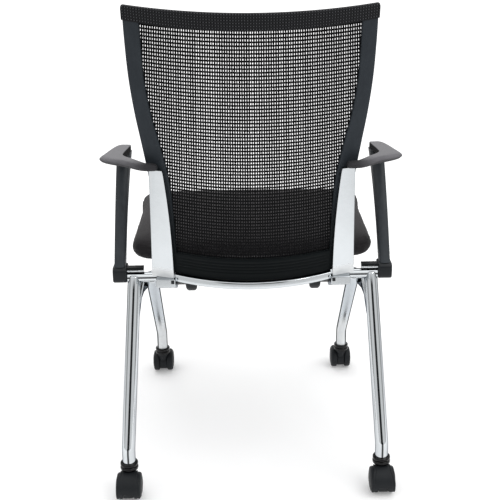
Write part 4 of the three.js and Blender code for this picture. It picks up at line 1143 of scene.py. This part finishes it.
rib_count, rib_span, cross_ribs, cross_step = 9, 0.36, 7, 0.044
seat_middle = (seat_rear + seat_front) / 2
ribs = Modelling("pan_ribs", Count=rib_count, Span=rib_span, Length=0.27, Height=0.003,
                 Width=0.0018, Finish=black_plastic)
span, length, height, width = (ribs.given(n) for n in ("Span", "Length", "Height", "Width"))
line = ribs.node("GeometryNodeMeshLine", {"mode": "OFFSET"},
                 {"Count": ribs.given("Count"), "Offset": ribs.vector(span / (rib_count - 1)),
                  "Start Location": (-rib_span / 2, seat_middle - 0.006, pan_bottom + 0.0016)})
rib = ribs.node("GeometryNodeMeshCube", None, {"Size": ribs.vector(width, length, height)})
across_line = ribs.node("GeometryNodeMeshLine", {"mode": "OFFSET"},
                        {"Count": cross_ribs, "Offset": (0, cross_step, 0),
                         "Start Location": (0, seat_middle - 0.136, pan_bottom + 0.0018)})
across_rib = ribs.node("GeometryNodeMeshCube", None,
                       {"Size": ribs.vector(span + 0.014, width, height - 0.0004)})
placed = [ribs.node("GeometryNodeInstanceOnPoints", None, {"Points": a, "Instance": b})
          for a, b in ((line, rib), (across_line, across_rib))]
pan_ribs = ribs.make(guide("rib_guide", []), "pan_ribs", ribs.join(*placed))
pan_ribs.data.set_sharp_from_angle(angle=math.radians(30))
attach(pan_ribs, "seat")

# ---- Cushion ----
# Moulded foam under one panel of crepe upholstery with a boxed side and a welted seam. The
# cover is pulled under the pan and stapled, so its lower edge turns in.

cushion_base = pan_bottom + pan_levels[-1][1] + seat_gap
cushion_height, cushion_crown, front_drop = 0.046, 0.004, 0.004
cushion_slim = 0.0004
# Up the cushion: how far in its skin lies and how high, both as shares of its height, and how
# much of the crown it has.
cushion_levels = ((0.52, 0.0, 0.0), (0.22, 0.12, 0.0), (0.06, 0.28, 0.0), (0.0, 0.5, 0.0),
                  (0.03, 0.66, 0.0), (0.12, 0.82, 0.0), (0.30, 0.94, 0.0), (0.62, 1.0, 0.3),
                  (1.3, 1.0, 0.7), (2.2, 1.0, 0.95), (2.9, 1.0, 1.0))
seam_z = cushion_base + 0.66 * cushion_height
furrow_depth, furrow_half, ripple_height, ripple_reach = 0.0014, 0.0022, 0.00035, 0.014


def cushion_ring(inset, rise, crown):
    ring_points = []
    for x, y in seat_outline(inset * cushion_height + cushion_slim, 96):
        forward = clipped((seat_rear - y) / (seat_rear - seat_front))
        drop = front_drop * forward**4 * rise * (1 - crown)
        ring_points.append((x, y, cushion_base + cushion_height * rise - drop
                            + cushion_crown * crown))
    return ring_points


def of_vertices(mesh, what="co"):
    """The places or the normals of a mesh's vertices, a row each."""
    found = np.empty(len(mesh.vertices) * 3)
    mesh.vertices.foreach_get(what, found)
    return found.reshape(-1, 3)


def move_vertices(mesh, places):
    mesh.vertices.foreach_set("co", places.ravel())
    mesh.update()


def puffed(made, voxel, pressure, most):
    """Remeshes a closed shape and blows its top up as cloth. The stapled sides are held."""
    shape = made.modifiers.new("Voxels", "REMESH")
    shape.mode, shape.voxel_size = "VOXEL", voxel
    made.data = evaluated_mesh(made)
    made.modifiers.clear()
    places = of_vertices(made.data)
    held = made.vertex_groups.new(name="held")
    for vertex in made.data.vertices:
        rise = (vertex.co.z - cushion_base) / cushion_height
        held.add([vertex.index], min(max((1.0 - rise) * 9, 0.02), 1.0), "REPLACE")
    cloth = made.modifiers.new("Cloth", "CLOTH")
    cloth.settings.vertex_group_mass = held.name
    cloth.settings.quality = 5
    cloth.settings.use_pressure = True
    cloth.settings.uniform_pressure_force = pressure
    cloth.settings.effector_weights.gravity = 0
    cloth.settings.tension_stiffness = 25
    cloth.point_cache.frame_start, cloth.point_cache.frame_end = 1, 20
    for at in range(1, 21):
        bpy.context.scene.frame_set(at)
    seen = made.evaluated_get(bpy.context.evaluated_depsgraph_get())
    push = of_vertices(seen.data) - places
    made.modifiers.clear()
    bpy.context.scene.frame_set(1)
    far = np.linalg.norm(push, axis=1, keepdims=True)
    return places + push * np.minimum(1, most / np.maximum(far, 1e-9))


cushion = skin("cushion", [cushion_ring(*level) for level in cushion_levels], crease=180)
soft = puffed(cushion, voxel=0.0055, pressure=4.0, most=0.006)
soft[:, 2] = np.clip(soft[:, 2], cushion_base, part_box("seat_cushion")[1][2] + 0.003)
pull = np.cos(np.pi * np.clip(soft[:, 0] / 0.48, -0.5, 0.5)) ** 2
soft[:, 1] = seat_middle + (soft[:, 1] - seat_middle) * (1 - 0.006 * pull)
move_vertices(cushion.data, soft)
finer = cushion.modifiers.new("Finer", "SUBSURF")
finer.levels = finer.render_levels = 1
cushion.data = evaluated_mesh(cushion)
cushion.modifiers.clear()

# The seam pulls a narrow furrow into the side, and the cover wrinkles faintly beside it.
places, normals = of_vertices(cushion.data), of_vertices(cushion.data, "normal")
from_seam, upward = places[:, 2] - seam_z, np.abs(normals[:, 2])
furrow = np.exp(-(from_seam / furrow_half) ** 2) * (upward < 0.8)
side = np.exp(-(from_seam / ripple_reach) ** 2) * (upward < 0.9)
ripple = (np.sin(places[:, 0] * 190 + 3 * np.sin(places[:, 1] * 41))
          * np.sin(places[:, 1] * 170 + 2))
places -= normals * (furrow * furrow_depth + side * ripple * ripple_height)[:, None]
move_vertices(cushion.data, places)
cushion.data.shade_smooth()


def upholstery(name, dark, light):
    """Crepe: a fine pebbled weave with a slight sheen and paler high threads."""
    cloth = Finish(name, Sheen_Weight=0.12, Sheen_Roughness=0.45, Specular_IOR_Level=0.15)
    slub = cloth.noise(420, 3, 0.6) - 0.5
    waves = [(part * (2 * math.pi / 0.0019) + slub * 3.0).sine()
             for part in cloth.parts(cloth.place)]
    threads = (waves[0] * waves[1] + waves[2] * (waves[0] + waves[1]) * 0.5) * 0.5 + 0.5
    pebble = cloth.node("ShaderNodeTexVoronoi", {"feature": "F1"},
                        {"Vector": cloth.place, "Scale": 780.0})
    fade = cloth.ramp(cloth.noise(9, 3, 0.5), 0.35, 0.75)
    cloth.feed(Base_Color=cloth.blend(0.4 * threads + 0.35 * pebble + 0.25 * fade, dark, light),
               Roughness=0.78 + 0.18 * pebble)
    cloth.relief((threads, 0.5, 0.00035), (pebble, 0.5, 0.0003),
                 (cloth.noise(3200, 2, 0.5), 0.3, 0.0001))
    return cloth.material


seat_cloth = upholstery("seat_cloth", (0.013, 0.0115, 0.012), (0.056, 0.052, 0.056))
fit(cushion, seat_cloth, "seat", "seat_fabric", "seat_cushion")

# Lockstitches run round the seam, each a short thread that dips at its ends.
thread = upholstery("seam_thread", (0.016, 0.015, 0.016), (0.075, 0.070, 0.074))
cover = BVHTree.FromPolygons([vertex.co for vertex in cushion.data.vertices],
                             [tuple(face.vertices) for face in cushion.data.polygons])
line_points = []
for x, y in seat_outline(-0.004, 300):
    there, facing, _, _ = cover.find_nearest(Vector((x, y, seam_z + 0.0042)))
    line_points.append(there + facing * 0.0001)
closed = [(k, (k + 1) % len(line_points)) for k in range(len(line_points))]
sewing = Modelling("lockstitch", Pitch=0.0056, Length=0.0042, Thickness=0.0009, Finish=thread)
seam_line = sewing.node("GeometryNodeMeshToCurve", None, {"Mesh": sewing.given("Guides")})
seam_line = sewing.node("GeometryNodeCurveToPoints", {"mode": "LENGTH"},
                        {"Curve": seam_line, "Length": sewing.given("Pitch")})
turns = Value(sewing, seam_line.socket.node.outputs["Rotation"])
thickness = sewing.given("Thickness")
stitch = sewing.node("GeometryNodeMeshUVSphere", None,
                     {"Segments": 6, "Rings": 4, "Radius": 0.5})
stitch = sewing.node("GeometryNodeTransform", None,
                     {"Geometry": stitch,
                      "Scale": sewing.vector(thickness, thickness, sewing.given("Length"))})
stitches = sewing.make(guide("stitch_line", line_points, closed), "seam_stitches", sewing.node(
    "GeometryNodeInstanceOnPoints", None,
    {"Points": seam_line, "Instance": stitch, "Rotation": turns}))
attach(stitches, "seat")

# ---- Seat hinges ----
# Black die-cast arms under the pan that turn on the beam. Each wraps round it in a knuckle
# that thins downward.

hinge_middle, hinge_half = 0.119, 0.011
hinge_radius, hinge_drop = 0.024, 0.004
hinge_length, hinge_thickness = 0.096, 0.009
hinge_top = pan_bottom - seat_gap
knuckle_top, knuckle_height = hub.z - 0.0125, 0.0165
outline = [(hub.y + hinge_radius * math.cos(a), hub.z - hinge_drop + hinge_radius * math.sin(a))
           for a in np.radians(np.linspace(-108, 153, 40))]
outline += [(hub.y - hinge_radius - hinge_drop, hinge_top), (hub.y - hinge_length, hinge_top),
            (hub.y - hinge_length, hinge_top - hinge_thickness)]
hinge = plate_along_x("seat_arm_left", outline, hinge_middle - hinge_half,
                      hinge_middle + hinge_half, 0.0042, steps=5)
for vertex in hinge.data.vertices:
    low_by = clipped((knuckle_top - vertex.co.z) / knuckle_height)
    vertex.co.x = hinge_middle + (vertex.co.x - hinge_middle) * math.sqrt(1 - 0.72 * low_by**2)
fit_pair(hinge, black_plastic, "seat", "black_plastic", "seat_hinge")

# ---- Caster sockets ----
# Glossy black nylon plugs of two stacked rings, pressed into the leg ends. The caster's stem
# snaps into them.

gloss_plastic = moulded("gloss_plastic", (0.002, 0.002, 0.0025), (0.006, 0.006, 0.007), 0.12,
                        grain=0.05, coat=0.25, shine=0.15)
caster_plastic = moulded("caster_plastic", (0.0065, 0.008, 0.0095), (0.020, 0.0225, 0.026),
                         0.50, grain=0.6, shine=0.22)


def bead(low, high, radius, bulge=0.0020):
    """A rounded ring's part of a (height, radius) profile."""
    return [(mix(low, high, (1 - math.cos(a)) / 2), radius + bulge * math.sin(a))
            for a in (math.pi * k / 8 for k in range(9))]


socket_profile = [(socket_bottom, 0.0064), (socket_bottom, 0.0150),
                  *bead(socket_bottom, socket_bottom + 0.0078, 0.0155),
                  *bead(socket_bottom + 0.0082, socket_top - 0.0006, 0.0152),
                  (socket_top, 0.0146), (socket_top - 0.0003, 0.0131),
                  (socket_top - 0.004, 0.0129)]

# ---- Casters ----
# Nylon twin-wheel casters, 50 mm across. A hood and a central body carry a steel axle, and a
# domed wheel runs on each side of it.

wheel_radius, wheel_centre_z, caster_trail = 0.02452, 0.02452, 0.015
hood_radius, hood_inner_radius, hood_edge = 0.0278, 0.0259, 0.0012
hood_half, hood_narrowing, hood_groove = 0.023, 0.0062, 0.0008
hood_low, hood_high, notch_lift = -32, 112, 25  # degrees round the axle
notch_half, notch_blend = 0.0088, 0.0022
body_half, body_radius, body_hub_radius = 0.0091, 0.0268, 0.021


def round_axle(x, radius, degrees):
    """A place at this distance from the axle, for a caster that trails to the rear."""
    angle = math.radians(degrees)
    return (x, caster_trail + radius * math.cos(angle),
            wheel_centre_z + radius * math.sin(angle))


hood = []
for k in range(45):
    share = k / 44
    half = hood_half - hood_narrowing * clipped((share - 0.30) / 0.40) ** 1.6
    outer, inner = [], []
    for place in (k / 14 for k in range(-14, 15)):
        x = half * place
        notch = 1 - clipped((abs(x) - notch_half) / notch_blend)
        degrees = mix(hood_low + notch_lift * notch, hood_high, share)
        rim = max(0.0, abs(place) - 0.93) / 0.07
        groove = hood_groove * math.exp(-((abs(place) - 0.80) / 0.035) ** 2)
        edge = hood_edge * (1 - math.sqrt(max(0.0, 1 - rim**2)))
        outer.append(round_axle(x, hood_radius - edge - groove, degrees))
        inner.append(round_axle(x, hood_inner_radius, degrees))
    hood.append(outer + inner[::-1])
core = [[round_axle(x, body_radius - inset, mix(hood_low, hood_high, k / 25)) for k in range(26)]
        + [round_axle(x, body_hub_radius - inset, mix(hood_high, 360 + hood_low, k / 25))
           for k in range(26)]
        for x, inset in ((-body_half, 0.0012), (-body_half + 0.0008, 0.0003),
                         (-body_half + 0.002, 0.0), (body_half - 0.002, 0.0),
                         (body_half - 0.0008, 0.0003), (body_half, 0.0012))]
boss_profile = [(wheel_centre_z + 0.0105, 0.0091), (0.0435, 0.0105), (0.0485, 0.0122),
                (0.0510, 0.0128), (0.0522, 0.0126), (0.05232, 0.0118)]
drawn_radius = 0.025
# From the inner side outward: the place along the axle and the drawn radius.
wheel_profile = [(0.0095, 0.0080), (0.0095, 0.0232), (0.0102, 0.0243), (0.0112, 0.0249),
                 (0.0130, 0.0250), (0.0190, 0.0250), (0.0206, 0.0246), (0.0219, 0.0237),
                 (0.0227, 0.0226), (0.0229, 0.0217), (0.0225, 0.0211), (0.0224, 0.0206),
                 (0.0229, 0.0199), (0.0239, 0.0176), (0.0245, 0.0150), (0.0248, 0.0120),
                 (0.0249, 0.0085), (0.0246, 0.0079), (0.0246, 0.0073), (0.0249, 0.0066),
                 (0.0250, 0.0035), (0.0250, 0.0006)]
plain_steel = polished("plain_steel", (0.55, 0.56, 0.57), 0.22)


def set_down(made, place):
    made.data.transform(place)
    return made


for corner in ("front_left", "front_right", "rear_left", "rear_right"):
    end, hand = corner.split("_")
    _, foot, back, _ = legs[end]
    x = foot if hand == "left" else -foot
    place = (Matrix.Translation((x, hub.y + back, 0))
             @ Matrix.Rotation(math.pi if end == "front" else 0, 4, "Z"))
    plug = turned(f"socket_{corner}", socket_profile, (0, 0, 0), "Z")
    fit(set_down(plug, place), gloss_plastic, "frame", "black_plastic", f"leg_socket_{corner}")

    shell = set_down(skin(f"hood_{corner}", hood, crease=40), place)
    middle = set_down(skin(f"core_{corner}", core, crease=40), place)
    boss = set_down(turned(f"boss_{corner}", boss_profile, (0, 0, 0), "Z", crease=50), place)
    joined = bmesh.new()
    for part in (shell, middle, boss):
        joined.from_mesh(part.data)
    joined.to_mesh(shell.data)
    joined.free()
    for part in (middle, boss):
        bpy.data.objects.remove(part)
    fit(shell, caster_plastic, f"caster_{corner}", "caster_plastic",
        f"caster_housing_{corner}")

    low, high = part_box(f"caster_wheel_a_{corner}")
    for side in (-1, 1):
        # The CAD's wheel a is on one side of the stem, and this says which.
        this_side = (side > 0) == (end == "rear")
        letter = "a" if this_side == ((low[0] + high[0]) / 2 > x) else "b"
        profile = [(side * along, radius * wheel_radius / drawn_radius)
                   for along, radius in wheel_profile]
        wheel = turned(f"wheel_{letter}_{corner}", profile, (0, caster_trail, wheel_centre_z),
                       crease=28, sides=64)
        fit(set_down(wheel, place), caster_plastic, f"wheel_{letter}_{corner}",
            "caster_plastic", f"caster_wheel_{letter}_{corner}")
    for node in (f"caster_stem_{corner}", f"caster_axle_{corner}"):
        frame["nodes"][node].data.materials.clear()
        frame["nodes"][node].data.materials.append(plain_steel)

# ---- Floor, light and camera ----
# A pale floor under a soft white studio. Its dark places, behind the camera, low at the rear
# and at the front's sides, show only in the reflections, and the camera sees white.

floor_mesh = bpy.data.meshes.new("floor")
floor_mesh.from_pydata([(-3, -3, 0), (3, -3, 0), (3, 3, 0), (-3, 3, 0)], [], [(0, 1, 2, 3)])
floor = put("floor", floor_mesh)
floor_paint = Finish("floor_paint", Roughness=0.7, Specular_IOR_Level=0.1)
out_from_chair = floor_paint.node("ShaderNodeVectorMath", {"operation": "LENGTH"},
                                  {0: floor_paint.place}, 1)
floor_paint.feed(Base_Color=floor_paint.blend(floor_paint.noise(3, 2), (0.87, 0.87, 0.875),
                                              (0.90, 0.90, 0.90)),
                 Alpha=1 - floor_paint.ramp(out_from_chair, 0.85, 1.3))
floor_paint.shader.inputs["Emission Color"].default_value = (1.0, 1.0, 1.0, 1.0)
floor_paint.shader.inputs["Emission Strength"].default_value = 0.17
floor.data.materials.append(floor_paint.material)
floor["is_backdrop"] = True

world = bpy.data.worlds.new("studio")
bpy.context.scene.world = world
world.use_nodes = True
world.node_tree.nodes.clear()
studio = Nodes(world.node_tree)
side, back, up = studio.parts(studio.node("ShaderNodeTexCoord", out="Generated"))
flat_x = abs(side)
room_dark = ((1 - studio.ramp(flat_x, 0.26, 0.36)) * studio.ramp(back, 0.2, 0.45)
             * (1 - studio.ramp(up, 0.22, 0.36)) * studio.ramp(up, -0.32, -0.16))
drapes = (studio.ramp(back, 0.05, 0.18) * (1 - studio.ramp(back, 0.42, 0.52))
          * (1 - studio.ramp(up, 0.15, 0.4)) * studio.ramp(up, -0.5, -0.2))
wings = (studio.ramp(flat_x, 0.36, 0.46) * (1 - studio.ramp(flat_x, 0.74, 0.86))
         * studio.ramp(back * -1.0, 0.2, 0.4) * (1 - studio.ramp(up, 0.2, 0.5)))
sky = 0.78 + 0.5 * studio.ramp(up, 0.25, 0.9)
lit = sky * (1 - 0.97 * room_dark) * (1 - 0.5 * drapes) * (1 - 0.9 * wings)
for_camera = studio.node("ShaderNodeLightPath", out="Is Camera Ray")
strength = lit * (1 - for_camera) + 1.3 * for_camera
background = studio.node("ShaderNodeBackground", None,
                         {"Color": (1.0, 1.0, 1.0, 1.0), "Strength": strength})
output = world.node_tree.nodes.new("ShaderNodeOutputWorld")
world.node_tree.links.new(background.socket, output.inputs["Surface"])

for name, where, size, power in (("key", (-1.6, 0.9, 2.6), 1.4, 14),
                                 ("front", (0.9, -2.0, 2.4), 1.6, 8),
                                 ("glint", (-1.1, 2.3, 1.7), 0.28, 3.0)):
    lamp = put(name, bpy.data.lights.new(name, "AREA"))
    lamp.data.size, lamp.data.energy = size, power
    lamp.location = where
    aim = Vector((0, 0, 0.45)) - Vector(where)
    lamp.rotation_euler = aim.to_track_quat("-Z", "Y").to_euler()

eye = (0.0188, 1.7611, 1.0741)
yaw, pitch, roll = math.radians(2.01), math.radians(17.32), -0.005
frame_width, focal_pixels, shift_pixels = 500, 904.8, (-22.55, -50)
forward = Vector((-math.sin(yaw) * math.cos(pitch), -math.cos(yaw) * math.cos(pitch),
                  -math.sin(pitch)))
right = forward.cross(Vector((0, 0, 1))).normalized()
upward = right.cross(forward)
right, upward = (right * math.cos(roll) + upward * math.sin(roll),
                 upward * math.cos(roll) - right * math.sin(roll))
lens = bpy.data.cameras.new("camera")
lens.sensor_width = 36
lens.lens = focal_pixels / frame_width * lens.sensor_width
lens.shift_x, lens.shift_y = (pixels / frame_width for pixels in shift_pixels)
camera = put("camera", lens)
camera.matrix_world = Matrix((right, upward, -forward)).transposed().to_4x4()
camera.matrix_world.translation = eye
bpy.context.scene.camera = camera
bpy.context.scene.view_settings.view_transform = "Standard"

low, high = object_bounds()
